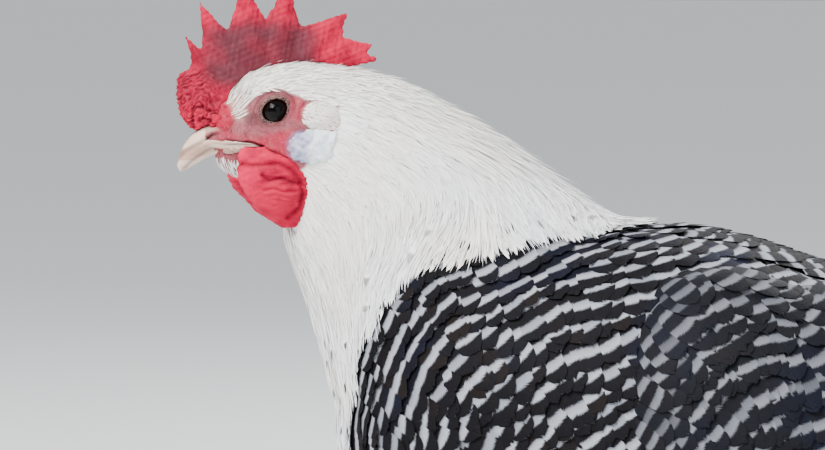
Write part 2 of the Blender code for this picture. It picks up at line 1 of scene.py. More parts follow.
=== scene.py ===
"""A life-size white-necked barred hen, laid out as a Blender add-on and run as a script.

One skin takes the place of the solid flesh, and every feather is a vane of mesh laid on it. Sizes inside the
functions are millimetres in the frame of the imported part: the hen faces -X, its left side is -Y and the
floor is z = 0. The head and neck are described before the turn of the head, and swung with it at the end.
"""

import math

import bmesh
import bpy
import numpy as np
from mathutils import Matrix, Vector
from mathutils.bvhtree import BVHTree
from mathutils.kdtree import KDTree


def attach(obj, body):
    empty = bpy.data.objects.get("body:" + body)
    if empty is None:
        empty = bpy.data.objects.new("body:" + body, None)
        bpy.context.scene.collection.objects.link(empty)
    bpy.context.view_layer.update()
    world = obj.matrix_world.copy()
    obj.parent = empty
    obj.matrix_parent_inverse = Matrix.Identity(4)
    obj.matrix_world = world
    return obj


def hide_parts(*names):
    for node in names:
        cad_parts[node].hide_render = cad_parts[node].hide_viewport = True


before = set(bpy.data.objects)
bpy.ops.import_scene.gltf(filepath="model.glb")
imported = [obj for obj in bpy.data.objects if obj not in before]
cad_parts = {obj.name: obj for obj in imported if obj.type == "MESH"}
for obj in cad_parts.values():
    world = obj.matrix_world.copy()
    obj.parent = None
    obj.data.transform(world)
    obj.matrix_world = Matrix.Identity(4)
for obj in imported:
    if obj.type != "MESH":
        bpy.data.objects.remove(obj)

bl_info = {
    "name": "White-necked barred hen",
    "version": (1, 0, 0),
    "blender": (4, 5, 0),
    "location": "View3D > Sidebar > Hen",
    "description": "Builds the skin, feathers, head and legs of a barred hen",
    "category": "Add Mesh",
}

MM = 0.001
SIDES = {"left": -1, "right": 1}
EYE = np.array((-167.25, 0.0, 338.0))
TURN_AXIS_X = -89.65
TURN_HEIGHTS = (250.0, 335.0)
TURN_ANGLE = math.radians(16.0)

# Rings of the head and neck from the eye: throat x and z, nape x and z, half width
NECK_RINGS = (
    (-21, -19, -21, -3, 6.0),
    (-16, -22.5, -17, 5, 8.8),
    (-10, -26, -11, 12.5, 12.2),
    (-2, -30, -3, 16, 15.2),
    (4, -34.5, 10, 17.5, 17.3),
    (5, -39.5, 27, 15.5, 19.3),
    (4, -46.5, 46, 10.5, 22.5),
    (7, -56, 62, 2, 27.0),
    (12, -70, 80, -9, 33.0),
    (18, -87, 97, -21.5, 40.0),
    (22.5, -103, 112, -32.5, 47.0),
    (29, -118, 127, -41.5, 52.0),
    (46, -133, 139, -54, 46.0),
)
# Rings of the rump in front of the tail: x, top, bottom, half width
RUMP_RINGS = (
    (86, 268, 195, 34),
    (95, 267, 203, 31),
    (105, 269, 216, 26),
    (115, 272, 231, 20),
    (124, 275, 246, 13),
    (130, 276, 258, 7),
)
# The middle of the opening between the lids, from the eye
LIDS_AT = np.array((-0.5, 0.0, 0.65))
# The middle of the ear, seen from the side, from the eye
EAR_AT = (15.6, -1.2)
# The lines where the cheek meets the upper and the lower bill, seen from the side, from the eye
UPPER_LINE = ((-17, -10.2), (-12, -10.9), (-8, -11.3), (-5.0, -12.5))
LOWER_LINE = ((-18, -15.3), (-12, -14.1), (-8, -13.6), (-4.6, -12.8))
# Where the comb's front lobe ends behind, and the nostril, seen from the side, from the eye
COMB_ROOT = (-18.0, -2.0)
NOSTRIL = ((-24.8, -10.1), (-23.6, -9.3), (-21.9, -8.2), (-19.6, -6.6))
# The bare face seen from the side, from the eye
FACE_EDGE = (
    (-27, -4), (-20, 0), (-15, 7), (-9, 8.6), (0, 8.8), (7, 7.2), (12, 5.0), (17, 4.6), (21.5, 1.5), (22.5, -4),
    (20, -8), (14, -13), (11, -20), (3, -23), (-8, -24), (-17, -20.5), (-23, -18),
)
# What the folded wing lies on: x, top, bottom, half width
WING_BED = (
    (-57.6, 295.5, 148, 72),
    (-32.6, 297.5, 145, 74),
    (-7.6, 296, 146, 74),
    (17.4, 287, 150, 71),
    (42.4, 277, 158, 65),
    (67.4, 267, 168, 57.5),
    (92.4, 259, 178, 49),
    (117.4, 252, 187, 41),
    (142.4, 246, 196, 34),
)
# Wing quills and coverts: count, then x and angle of root and tip and the half width for the topmost and
# for the lowest feather, the lift off the bed at root and tip, and the tilt
WING_TIERS = (
    (7, (42, -8, 130, 18, 7.4), (42, -26, 90, -8, 7.4), (1.6, 2.6), 0.10),
    (10, (40, 45, 99, 39, 10.0), (36, -20, 91, -1, 9.4), (3.6, 5.0), 0.09),
    (11, (44, 48, 80, 45, 8.6), (32, -20, 68, -9, 8.2), (4.6, 6.4), 0.08),
    (4, (46, 63, 92, 56, 8.6), (44, 47, 94, 44, 8.6), (5.2, 7.0), 0.08),
)
# Where the tail starts, and the height at which the thighs' feathers end
TAIL_ROOT = (95.35, 0.0, 247.0)
THIGH_END = 105.0
TOES = ("middle", "outer", "inner", "hind")
# Half the side of the stage's floor
FLOOR = 20000.0
# The head ends this far along the neck, and the white coat ends at this height
HEAD_END = 60.0
WHITE_FLOOR = 175.0
# The step over which a field's slope is measured
SLOPE_STEP = 0.6
# From one white bar to the next on the skin, and on the thighs
SKIN_PERIOD = 8.2
THIGH_PERIOD = 5.6
shared = {}


# Small helpers


def unit(vectors):
    return vectors / np.maximum(np.linalg.norm(vectors, axis=-1, keepdims=True), 1e-9)


def smooth(value, low, high):
    share = np.clip((value - low) / (high - low), 0, 1)
    return share * share * (3 - 2 * share)


def mixed(a, b, share):
    return a + (b - a) * share


def catmull(rows, at):
    """The rows of numbers read smoothly at the places in at, where row 2 is read at 2.0."""
    rows = np.asarray(rows, float)
    at = np.asarray(at, float)
    last = len(rows) - 1
    low = np.clip(np.floor(at).astype(int), 0, last - 1)
    part = (at - low)[:, None]
    a, b, c, d = (rows[np.clip(low + k, 0, last)] for k in (-1, 0, 1, 2))
    curve = (2 * a - 5 * b + 4 * c - d) * part**2 + (3 * b - a - 3 * c + d) * part**3
    return b + 0.5 * ((c - a) * part + curve)


def swung(points, way=1):
    """Points of the head and neck swung with the turn of the head, or back again with way -1."""
    points = np.array(points, float)
    rise = smooth(points[..., 2], *TURN_HEIGHTS)
    angle = way * TURN_ANGLE * rise
    x, y = points[..., 0] - TURN_AXIS_X, points[..., 1].copy()
    points[..., 0] = TURN_AXIS_X + x * np.cos(angle) - y * np.sin(angle)
    points[..., 1] = x * np.sin(angle) + y * np.cos(angle)
    return points


def from_eye(points):
    """Points on the hen, given from the eye as if the head looked straight ahead."""
    return swung(points, -1) - EYE


def ripple(points, size, seed, waves=7):
    """Smooth seeded noise from about -1 to 1, whose bumps are about size apart."""
    chance = np.random.default_rng(seed)
    directions = unit(chance.normal(size=(waves, 3))) * chance.uniform(0.7, 1.4, (waves, 1))
    shifts = chance.uniform(0, 2 * math.pi, waves)
    phase = np.asarray(points) @ directions.T * (2 * math.pi / size) + shifts
    return np.sin(phase).sum(-1) / math.sqrt(waves) * 0.9


def ring_points(middle, across, up, sides, squareness=2.2):
    angle = np.linspace(0, 2 * math.pi, sides, endpoint=False)
    wide, high = np.cos(angle), np.sin(angle)
    power = 2 / squareness
    wide = (np.sign(wide) * np.abs(wide) ** power)[:, None]
    high = (np.sign(high) * np.abs(high) ** power)[:, None]
    return np.asarray(middle) + wide * np.asarray(across) + high * np.asarray(up)


def lofted(rings):
    """Points and faces of a closed mesh through rings of equal count, with a fan on each end."""
    count, sides = len(rings), len(rings[0])
    points = np.concatenate([*rings, [rings[0].mean(0)], [rings[-1].mean(0)]])
    faces = []
    for i in range(count - 1):
        for j in range(sides):
            a, b = i * sides + j, i * sides + (j + 1) % sides
            faces.append((a, b, b + sides, a + sides))
    for j in range(sides):
        k = (j + 1) % sides
        faces.append((count * sides, k, j))
        faces.append((count * sides + 1, (count - 1) * sides + j, (count - 1) * sides + k))
    return points, faces


def blob(middle, reach):
    """Points and faces of an egg shape, given from the eye as if the head looked straight ahead."""
    rings = [
        ring_points(np.add(middle, (0, 0, reach[2] * math.sin(turn))), (reach[0] * math.cos(turn), 0, 0),
                    (0, reach[1] * math.cos(turn), 0), 20, 2)
        for turn in np.linspace(-1.45, 1.45, 12)
    ]
    points, faces = lofted(rings)
    return swung(points + EYE), faces


def joined(shapes):
    """One list of points and one of faces from several."""
    points, faces, start = [], [], 0
    for some_points, some_faces in shapes:
        points.append(np.asarray(some_points))
        faces += [tuple(i + start for i in face) for face in some_faces]
        start += len(some_points)
    return np.concatenate(points), faces


def linked(name, data):
    """A new object in the scene for a mesh, a lamp or a camera."""
    thing = bpy.data.objects.new(name, data)
    bpy.context.scene.collection.objects.link(thing)
    return thing


def new_object(name, points, faces):
    mesh = bpy.data.meshes.new(name)
    mesh.from_pydata((np.asarray(points) * MM).tolist(), [], faces)
    made = bmesh.new()
    made.from_mesh(mesh)
    bmesh.ops.recalc_face_normals(made, faces=made.faces)
    made.to_mesh(mesh)
    made.free()
    mesh.shade_smooth()
    return linked(name, mesh)


def read_rows(items, key):
    """Three numbers for each item of a mesh."""
    flat = np.zeros(len(items) * 3, np.float32)
    items.foreach_get(key, flat)
    return flat.reshape(-1, 3).astype(float)


def places(thing):
    """The vertices of an object in millimetres."""
    return read_rows(thing.data.vertices, "co") / MM


def vertex_normals(thing):
    return read_rows(thing.data.vertex_normals, "vector")


def face_corners(thing):
    return [tuple(face.vertices) for face in thing.data.polygons]


def move_to(thing, points):
    thing.data.vertices.foreach_set("co", (points * MM).astype(np.float32).ravel())
    thing.data.update()


def point_attribute(thing, name, values):
    made = thing.data.attributes.new(name, "FLOAT", "POINT")
    made.data.foreach_set("value", np.asarray(values, np.float32))


def evened(thing, rounds, loose=0.5):
    """Each vertex drawn towards the middle of its neighbours, by the share that it is loose."""
    edges = np.zeros(len(thing.data.edges) * 2, np.int64)
    thing.data.edges.foreach_get("vertices", edges)
    a, b = edges.reshape(-1, 2).T
    points = places(thing)
    count = np.bincount(np.concatenate([a, b]), minlength=len(points)).clip(1)[:, None]
    for _ in range(rounds):
        total = np.zeros_like(points)
        for axis in range(3):
            total[:, axis] = np.bincount(a, points[b, axis], len(points))
            total[:, axis] += np.bincount(b, points[a, axis], len(points))
        points = points + (total / count - points) * loose
    move_to(thing, points)


def fused(name, shapes, voxel):
    """One closed object round all the shapes, by a voxel remesh with cells of that size."""
    thing = new_object(name, *joined(shapes))
    modifier = thing.modifiers.new("fuse", "REMESH")
    modifier.mode = "VOXEL"
    modifier.voxel_size = voxel * MM
    graph = bpy.context.evaluated_depsgraph_get()
    mesh = bpy.data.meshes.new_from_object(thing.evaluated_get(graph))
    thing.modifiers.clear()
    old = thing.data
    thing.data = mesh
    bpy.data.meshes.remove(old)
    mesh.name = name
    mesh.shade_smooth()
    return thing


def node_shape(node, grow=0.0):
    """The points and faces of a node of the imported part, grown outwards by a little."""
    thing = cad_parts[node]
    return places(thing) + vertex_normals(thing) * grow, face_corners(thing)


def point_tree(points):
    tree = KDTree(len(points))
    for i, point in enumerate(points):
        tree.insert(point, i)
    tree.balance()
    return tree


def spread(points, gaps, seed):
    """Indices of points that are at least their own gap apart, taken in a seeded order."""
    order = np.random.default_rng(seed).permutation(len(points))
    gaps = np.broadcast_to(gaps, (len(points),))
    tree = point_tree(points)
    free = np.ones(len(points), bool)
    kept = []
    for i in order:
        if free[i]:
            kept.append(i)
            for _, j, _ in tree.find_range(points[i], gaps[i]):
                free[j] = False
    return np.array(kept)


# Where things lie on the hen


def neck_planes():
    """Middle points and directions of the planes that cut the neck, and how far along it they are."""
    rows = catmull(NECK_RINGS, np.linspace(0, len(NECK_RINGS) - 1, 72))
    throat, nape = rows[:, :2], rows[:, 2:4]
    middle = (throat + nape) / 2
    up = unit(nape - throat)
    ahead = np.stack([up[:, 1], -up[:, 0]], 1)
    length = np.concatenate([[0], np.cumsum(np.linalg.norm(np.diff(middle, axis=0), axis=1))])
    return middle, ahead, length


NECK_MIDDLE, NECK_AHEAD, NECK_LENGTH = neck_planes()


def neck_place(points):
    """How far along the neck points lie, in millimetres from the bill."""
    flat = from_eye(points)[:, (0, 2)]
    ahead = flat @ NECK_AHEAD.T - (NECK_MIDDLE * NECK_AHEAD).sum(1)
    passed = np.clip((ahead > 0).sum(1) - 1, 0, len(NECK_LENGTH) - 2)
    rows = np.arange(len(flat))
    before, after = ahead[rows, passed], ahead[rows, passed + 1]
    share = np.clip(before / np.where(np.abs(before - after) < 1e-6, 1e-6, before - after), -2, 3)
    return mixed(NECK_LENGTH[passed], NECK_LENGTH[passed + 1], share)


def bent_rows(points, slope_angle, middle, bend):
    """A field whose level lines, seen from the side, are one bent line moved along a slope."""
    angle = math.radians(slope_angle)
    x, z = points[:, 0], points[:, 2]
    along = x * math.cos(angle) - z * math.sin(angle)
    across = x * math.sin(angle) + z * math.cos(angle) - middle
    return along - bend * (np.sqrt(1 + (across / bend) ** 2 * (0.017 * bend)) - 1)


def body_place(points):
    """How far behind the white neck's edge points lie, in millimetres, on the torso."""
    x, y, z = points.T
    side = bent_rows(points, 42.2, 122.0, 71.0) + 271.0
    from_pivot = np.arctan2(z - 481.0, x - 142.0)
    middle = (from_pivot - math.atan2(-184.0, -175.0)) * 300.0
    wide = mixed(24, 44, smooth(-x, 50, 100))
    share = smooth(np.abs(y), 0, wide) * (1 - 0.8 * smooth(x, 20, 90))
    wavy = 1.3 * ripple(points, 46, 3) + 0.7 * ripple(points, 21, 4)
    return mixed(middle, side, share) + wavy


def wing_place(points):
    """How far from the front edge of the folded wing points lie, in millimetres."""
    front = bent_rows(points, 53.0, 153.0, 55.0) + 197.0
    rear = points[:, 0] - 8.0
    wavy = 1.4 * ripple(points, 40, 5) + 0.7 * ripple(points, 19, 6)
    return mixed(front, rear, smooth(points[:, 0], 30, 80)) + wavy


def slope_of(field, points):
    """The direction and steepness in which a field grows."""
    here = field(points)
    return np.stack([(field(points + SLOPE_STEP * axis) - here) / SLOPE_STEP for axis in np.eye(3)], 1)


def along_surface(directions, normals):
    return unit(directions - normals * (directions * normals).sum(-1, keepdims=True))


def neck_heading(points, normals):
    """Down the neck, turning to the lie of the body feathers near the shoulders."""
    down_neck = unit(slope_of(neck_place, points))
    down_body = unit(slope_of(body_place, points))
    border = unit(np.cross(down_body, (0.0, 1.0, 0.0)))
    border *= np.where((border * (-0.2, 0, -1)).sum(1) > 0, 1, -1)[:, None]
    front = smooth(-points[:, 0], 70, 110)[:, None]
    down_body = mixed(down_body, border, 0.62 * front)
    share = smooth(body_place(points), -46, -4)[:, None]
    return along_surface(mixed(down_neck, down_body, share), normals)


def body_heading(points, normals):
    """Backwards from the white neck's edge, and straight back along the ridge of the back."""
    ridge = np.exp(-((points[:, 1] / 13) ** 2)) * smooth(points[:, 0], -40, 0) * (points[:, 2] > 200)
    return along_surface(slope_of(body_place, points) + (0.15 + 2.0 * ridge)[:, None] * (1, 0, 0), normals)


def wing_heading(points, normals):
    return along_surface(slope_of(wing_place, points), normals)


def thigh_heading(points, normals):
    return along_surface(np.tile((0.28, 0.0, -1.0), (len(points), 1)), normals)


def inside(outline, x, z):
    """Whether points lie inside an outline seen from the side."""
    found = np.zeros(len(x), bool)
    ends = [*outline[1:], outline[0]]
    for (x1, z1), (x2, z2) in zip(outline, ends):
        if z1 == z2:
            continue
        between = (z1 > z) != (z2 > z)
        found ^= between & (x < x1 + (z - z1) * (x2 - x1) / (z2 - z1))
    return found


def line_distance(line, x, z):
    """How far points lie from a line seen from the side."""
    best = np.full(len(x), 1e9)
    line = np.array(line, float)
    for a, b in zip(line, line[1:]):
        along = b - a
        share = np.clip(((x - a[0]) * along[0] + (z - a[1]) * along[1]) / (along @ along), 0, 1)
        best = np.minimum(best, np.hypot(x - a[0] - share * along[0], z - a[1] - share * along[1]))
    return best


def crease(x, z, line, width):
    """1 on a line seen from the side, falling to 0 over the width."""
    return np.exp(-((line_distance(line, x, z) / width) ** 2))


def seen_from_side(points):
    """How far points lie behind and above the eye, as if the head looked straight ahead."""
    return from_eye(points)[:, (0, 2)].T


def face_depth(points):
    """How far points lie inside the bare face seen from the side, and less than 0 outside it."""
    x, z = seen_from_side(points)
    best = line_distance([*FACE_EDGE, FACE_EDGE[0]], x, z)
    return np.where(inside(FACE_EDGE, x, z), best, -best)


def on_head(points):
    return neck_place(points) < HEAD_END


def under_bill(points):
    """Whether points lie between the wattles, where no feathers grow."""
    x, y, z = from_eye(points).T
    return (x < -4) & (z < -17) & (z > -31) & (np.abs(y) < 10)


def bareness(points):
    """1 on the bare face and 0 under feathers."""
    depth = np.maximum(face_depth(points), 8 * under_bill(points) - 4)
    return smooth(depth + 0.8 * ripple(points, 5, 8), -1.2, 1.2) * on_head(points)


def coat_depth(points):
    """How thick the coat is."""
    head = mixed(0.6, 2.2, smooth(neck_place(points), 40, 75))
    body = mixed(head, 3.4, smooth(body_place(points), -20, 15))
    return body * (1 - bareness(points))


# The bed that the feathers lie on


class Bed:
    """The outer surface of the body as a search tree, with smooth normals."""

    def __init__(self, thing):
        self.points = places(thing)
        self.normals = vertex_normals(thing)
        self.faces = face_corners(thing)
        self.quads = np.array([face for face in self.faces if len(face) == 4])
        self.tree = BVHTree.FromPolygons(self.points.tolist(), self.faces)

    def settled(self, points):
        """The nearest points on the bed and the normals there."""
        shape = points.shape
        found, normals = [], []
        for point in points.reshape(-1, 3).tolist():
            at, _, face, _ = self.tree.find_nearest(point)
            around = self.faces[face]
            near = self.points[list(around)] - at
            weight = 1 / (np.sqrt((near * near).sum(1)) + 0.3)
            found.append(at)
            normals.append(weight @ self.normals[list(around)])
        return np.array(found).reshape(shape), unit(np.array(normals)).reshape(shape)

    def sprinkled(self, wanted, density, seed):
        """Random points on the faces whose first corner is wanted, with their normals."""
        chance = np.random.default_rng(seed)
        triangles = []
        for face in self.faces:
            if wanted[face[0]]:
                triangles.append(face[:3])
                if len(face) == 4:
                    triangles.append((face[0], face[2], face[3]))
        corners = self.points[np.array(triangles)]
        area = np.linalg.norm(np.cross(corners[:, 1] - corners[:, 0], corners[:, 2] - corners[:, 0]), axis=1)
        picks = chance.choice(len(triangles), int(area.sum() / 2 * density), p=area / area.sum())
        a, b = chance.random((2, len(picks), 1))
        over = a + b > 1
        a, b = np.where(over, 1 - a, a), np.where(over, 1 - b, b)
        weights = np.concatenate([1 - a - b, a, b], 1)[:, :, None]
        chosen = np.array(triangles)[picks]
        points = (self.points[chosen] * weights).sum(1)
        return points, unit((self.normals[chosen] * weights).sum(1))

    def level_loops(self, values, level):
        """The lines on the bed along which a field has one value, each as points in order."""
        faces = self.quads
        above = values[faces] > level
        crossing = above != np.roll(above, -1, 1)
        after = np.roll(faces, -1, 1)
        beside = {}
        for row in np.nonzero(crossing.sum(1) == 2)[0]:
            first, second = np.nonzero(crossing[row])[0]
            keys = [tuple(sorted((faces[row, k], after[row, k]))) for k in (first, second)]
            beside.setdefault(keys[0], []).append(keys[1])
            beside.setdefault(keys[1], []).append(keys[0])
        loops, seen = [], set()
        for start in beside:
            if start in seen:
                continue
            chain, here = [start], start
            seen.add(start)
            while True:
                ahead = [key for key in beside[here] if key not in seen]
                if not ahead:
                    break
                here = ahead[0]
                seen.add(here)
                chain.append(here)
            a, b = np.array(chain).T
            share = ((level - values[a]) / (values[b] - values[a]))[:, None]
            loops.append(mixed(self.points[a], self.points[b], share))
        return loops

    def row_roots(self, field, levels, spacing, wanted, seed):
        """Roots set evenly along each level of a field, each row shifted by half a step."""
        chance = np.random.default_rng(seed)
        values = field(self.points)
        roots = []
        for number, level in enumerate(levels):
            for points in self.level_loops(values, level):
                steps = np.linalg.norm(np.diff(points, axis=0), axis=1)
                length = np.concatenate([[0], np.cumsum(steps)])
                count = int(length[-1] / spacing)
                if count < 2:
                    continue
                at = (np.arange(count) + 0.5 * (number % 2) + chance.normal(0, 0.07, count)) / count % 1
                roots.append(np.stack([np.interp(at * length[-1], length, points[:, k]) for k in range(3)], 1))
        roots = np.concatenate(roots)
        roots = roots[wanted(roots)]
        tree = point_tree(roots)
        extra, _ = self.sprinkled((values > levels[0]) & (values < levels[-1]), 0.3, seed)
        extra = extra[wanted(extra)]
        reach = 0.68 * (levels[1] - levels[0])
        extra = extra[np.array([tree.find(point)[2] > reach for point in extra], bool)]
        return np.concatenate([roots, extra[spread(extra, 0.8 * spacing, seed)]])


def eyes_and_rump():
    """Shapes that the bed has besides the nodes: the eyes' mounds and the end of the rump."""
    shapes = []
    for side in SIDES.values():
        rings = [
            ring_points((0.4, side * 10.8 + side * y, 0), (r, 0, 0), (0, 0, r), 14, 2)
            for y, r in ((-4, 6), (0, 6.4), (3.4, 5.4), (5.0, 3.0))
        ]
        points, faces = lofted(rings)
        shapes.append((swung(points + EYE), faces))
    rump = [
        ring_points((x, 0, (top + bottom) / 2), (0, half, 0), (0, 0, (top - bottom) / 2), 24, 2.3)
        for x, top, bottom, half in catmull(RUMP_RINGS, np.linspace(0, len(RUMP_RINGS) - 1, 10))
    ]
    return [*shapes, lofted(rump)]


# What each bed is fused from: its nodes, the size of the cells and the rounds of evening
BEDS = {
    "bed": (("head", "neck", "torso", "thigh_left", "thigh_right"), 2.3, 5),
    "wing_bed": (("torso", "wing_left", "wing_right"), 3.0, 14),
    "leg_bed": (("torso", "thigh_left", "thigh_right", "shank_left", "shank_right"), 2.3, 7),
}


def kept_bed(key):
    """A bed that is made once, with its mesh kept and its object removed."""
    if key not in shared:
        nodes, voxel, rounds = BEDS[key]
        shapes = [node_shape(node, 0.25) for node in nodes]
        thing = fused(key, shapes + eyes_and_rump() if key == "bed" else shapes, voxel)
        evened(thing, rounds)
        shared[key] = Bed(thing)
        shared[key + "_mesh"] = thing.data
        bpy.data.objects.remove(thing)
    return shared[key]


def beside(x, angle, lift, side):
    """Points beside the body at x and at an angle in degrees above level, lifted off the wing's bed."""
    table = np.array(WING_BED)
    rows = catmull(table, np.interp(x, table[:, 0], np.arange(len(table))))
    turn = np.radians(angle)
    wide, high = np.cos(turn), np.sin(turn)
    half_height = (rows[:, 1] - rows[:, 2]) / 2
    power = 2 / 2.3
    y = rows[:, 3] * wide**power
    z = (rows[:, 1] + rows[:, 2]) / 2 + half_height * np.sign(high) * np.abs(high) ** power
    outward = unit(np.stack([0 * y, wide / rows[:, 3], high / half_height], 1))
    points = np.stack([np.asarray(x) + 0 * y, y, z], 1) + outward * np.reshape(lift, (-1, 1))
    return points * (1, side, 1), outward * (1, side, 1)


# Feathers


def laid(bed, roots, lengths, shares, heading, lift_root, lift_tip, power, stray, seed):
    """Centre lines of feathers that follow the bed from their roots, and the normals along them.

    shares are the places along a feather from 0 at its root to 1 at its tip. The lifts are heights over the
    bed, and stray turns each feather aside by about that many radians."""
    chance = np.random.default_rng(seed)
    at, normals = bed.settled(roots)
    lengths = np.broadcast_to(np.asarray(lengths, float), (len(roots),))
    aside = chance.normal(0, stray, len(roots))[:, None]
    lines, ups = [], []
    for k, share in enumerate(shares):
        lift = mixed(lift_root, lift_tip, share**power)
        lines.append(at + normals * np.reshape(lift, (-1, 1)))
        ups.append(normals)
        if k + 1 < len(shares):
            way = heading(at, normals)
            way = unit(way * np.cos(aside) + np.cross(normals, way) * np.sin(aside))
            step = (lengths * (shares[k + 1] - share))[:, None]
            at, normals = bed.settled(at + way * step)
    return np.stack(lines, 1), np.stack(ups, 1)


def clear_of_head(lines):
    """Which lines of feathers stay clear of the wattles and the ear lobes."""
    shapes = [node_shape(node) for node in HEAD_PARTS]
    points = np.concatenate([shape[0] for shape in shapes])
    low, high = points.min(0) - 3, points.max(0) + 3
    tree = BVHTree.FromPolygons(*joined(shapes))
    clear = np.ones(len(lines), bool)
    near = ((lines > low) & (lines < high)).all(-1)
    for i, j in zip(*np.nonzero(near)):
        if clear[i] and tree.find_nearest(lines[i, j].tolist())[3] < HEAD_GAP:
            clear[i] = False
    return clear


def bake_places(roots):
    """Places from 0 to 1 on an unwrap round the hen's own body: along it, and round it."""
    along = neck_place(roots)
    behind = body_place(roots)
    share = smooth(behind, -50, -20)
    down = mixed(along, 190 + behind, share)
    eye = from_eye(roots)
    middle_height = mixed(eye[:, 2] + 20 + 0.55 * eye[:, 0], roots[:, 2] - 222, share)
    side = mixed(eye[:, 1], roots[:, 1], share)
    round_body = np.arctan2(side, middle_height) / (2 * math.pi) + 0.5
    spots = np.stack([round_body, down / 540], 1)
    return np.clip(0.01 + 0.98 * spots, 0.004, 0.996)


def feather_mesh(name, lines, ups, half_widths, from_tip, material, arch, bow=0.0, white=None, *, ragged,
                 columns, roll, seed, extra=None, bake_at=None):
    """One mesh of many feathers.

    lines and ups are count x rows x 3, half_widths is count x rows, from_tip holds the distance of each row
    from the tip in bar periods, and white tells for each band between rows whether it is a white one. arch
    bends a feather down at its sides, and bow draws its sides back towards the root."""
    chance = np.random.default_rng(seed)
    count, rows = lines.shape[:2]
    ways = unit(np.gradient(lines, axis=1))
    across = unit(np.cross(ups, ways))
    ups = np.cross(ways, across)
    roll = np.broadcast_to(roll, (count,))[:, None, None]
    across, ups = across * np.cos(roll) + ups * np.sin(roll), ups * np.cos(roll) - across * np.sin(roll)
    u = np.linspace(-1, 1, columns)
    rag = 1 + ragged * chance.normal(size=(count, rows, columns)) * np.abs(u) ** 3
    wide = half_widths[:, :, None] * u * rag
    spots = lines[:, :, None] + across[:, :, None] * wide[..., None]
    sink = arch * half_widths[:, :, None] * u**2
    spots = spots - ups[:, :, None] * sink[..., None]
    widest = half_widths.max(1)[:, None, None]
    back = bow * wide**2 / widest * np.linspace(0, 1, rows)[None, :, None]
    spots = spots - ways[:, :, None] * back[..., None]
    fringe = chance.normal(0, 1, (count, 1, columns)) * (widest * 3 * ragged)
    tip_share = np.linspace(0, 1, rows)[None, :, None] ** 10
    points = (spots + ways[:, :, None] * (fringe * tip_share)[..., None]).reshape(-1, 3)
    start = (np.arange(count) * rows * columns)[:, None, None]
    i, j = np.arange(rows - 1)[None, :, None], np.arange(columns - 1)[None, None, :]
    a = start + i * columns + j
    quads = np.stack([a, a + 1, a + columns + 1, a + columns], -1).reshape(-1, 4)
    from_tip = np.broadcast_to(from_tip, (count, rows))
    uv = np.stack(np.broadcast_arrays((u / 2 + 0.5)[None, None], from_tip[:, :, None]), -1).reshape(-1, 2)
    patch = bake_places(lines[:, 0] if bake_at is None else bake_at)[:, None, None, :]
    white = np.zeros(rows - 1) if white is None else white
    band = np.broadcast_to(white[None, :, None], (count, rows - 1, columns - 1))
    step_u, step_v = BAKE_HALF * 0.75 / (columns - 1), 2 * BAKE_HALF / (rows - 1)
    low_u = patch[..., 0] + BAKE_HALF * np.where(band > 0, 0.25, -1.0) + step_u * j
    low_v = np.broadcast_to(patch[..., 1] - BAKE_HALF + step_v * i, low_u.shape)
    corners = [(0, 0), (1, 0), (1, 1), (0, 1)]
    bake = np.stack([np.stack([low_u + p * step_u, low_v + q * step_v], -1) for p, q in corners], 3)
    mesh = bpy.data.meshes.new(name)
    mesh.vertices.add(len(points))
    mesh.vertices.foreach_set("co", (points * MM).astype(np.float32).ravel())
    mesh.loops.add(quads.size)
    mesh.loops.foreach_set("vertex_index", quads.ravel().astype(np.int32))
    mesh.polygons.add(len(quads))
    mesh.polygons.foreach_set("loop_start", np.arange(0, quads.size, 4, dtype=np.int32))
    mesh.update(calc_edges=True)
    for key, flat in (("Feather", uv[quads.ravel()]), ("OFBake", np.clip(bake, 0, 1))):
        mesh.uv_layers.new(name=key).data.foreach_set("uv", flat.astype(np.float32).ravel())
    mesh.materials.append(material)
    mesh.shade_smooth()
    thing = linked(name, mesh)
    values = {"tone": chance.random(count), **(extra or {})}
    for key, each in values.items():
        point_attribute(thing, key, np.repeat(np.broadcast_to(each, (count,)), rows * columns))
    return thing


def width_profile(shares, base, shoulder, tip_round):
    """The half width along a feather as a share of its widest, from a narrow base to a rounded tip."""
    rise = base + (1 - base) * smooth(shares, 0, shoulder)
    close = np.clip((1 - shares) / tip_round, 0, 1)
    return rise * np.sqrt(1 - (1 - close) ** 2 * 0.98)


# What the neck feathers stay clear of, and by how much
HEAD_PARTS = ("wattle_left", "wattle_right", "earlobe_left", "earlobe_right")
HEAD_GAP = 1.1
# Half the side of a feather's patch on the map for baking
BAKE_HALF = 0.0016
# Places along a fine strand, from its root to its tip
STRAND_SHARES = np.array((0.0, 0.25, 0.5, 0.72, 0.88, 1.0))
# The bands of a body feather from its tip: a black end, a white bar and so on, in bar periods
BODY_ROWS_FROM_TIP = np.array((2.6, 2.0, 1.54, 1.3, 1.1, 0.96, 0.76, 0.55, 0.38, 0.2, 0.08, 0.0))
WHITE_BAR = (0.55, 0.96)


def white_bands(from_tip):
    middle = (from_tip[1:] + from_tip[:-1]) / 2 % 1
    return ((middle > WHITE_BAR[0]) & (middle < WHITE_BAR[1])).astype(float)


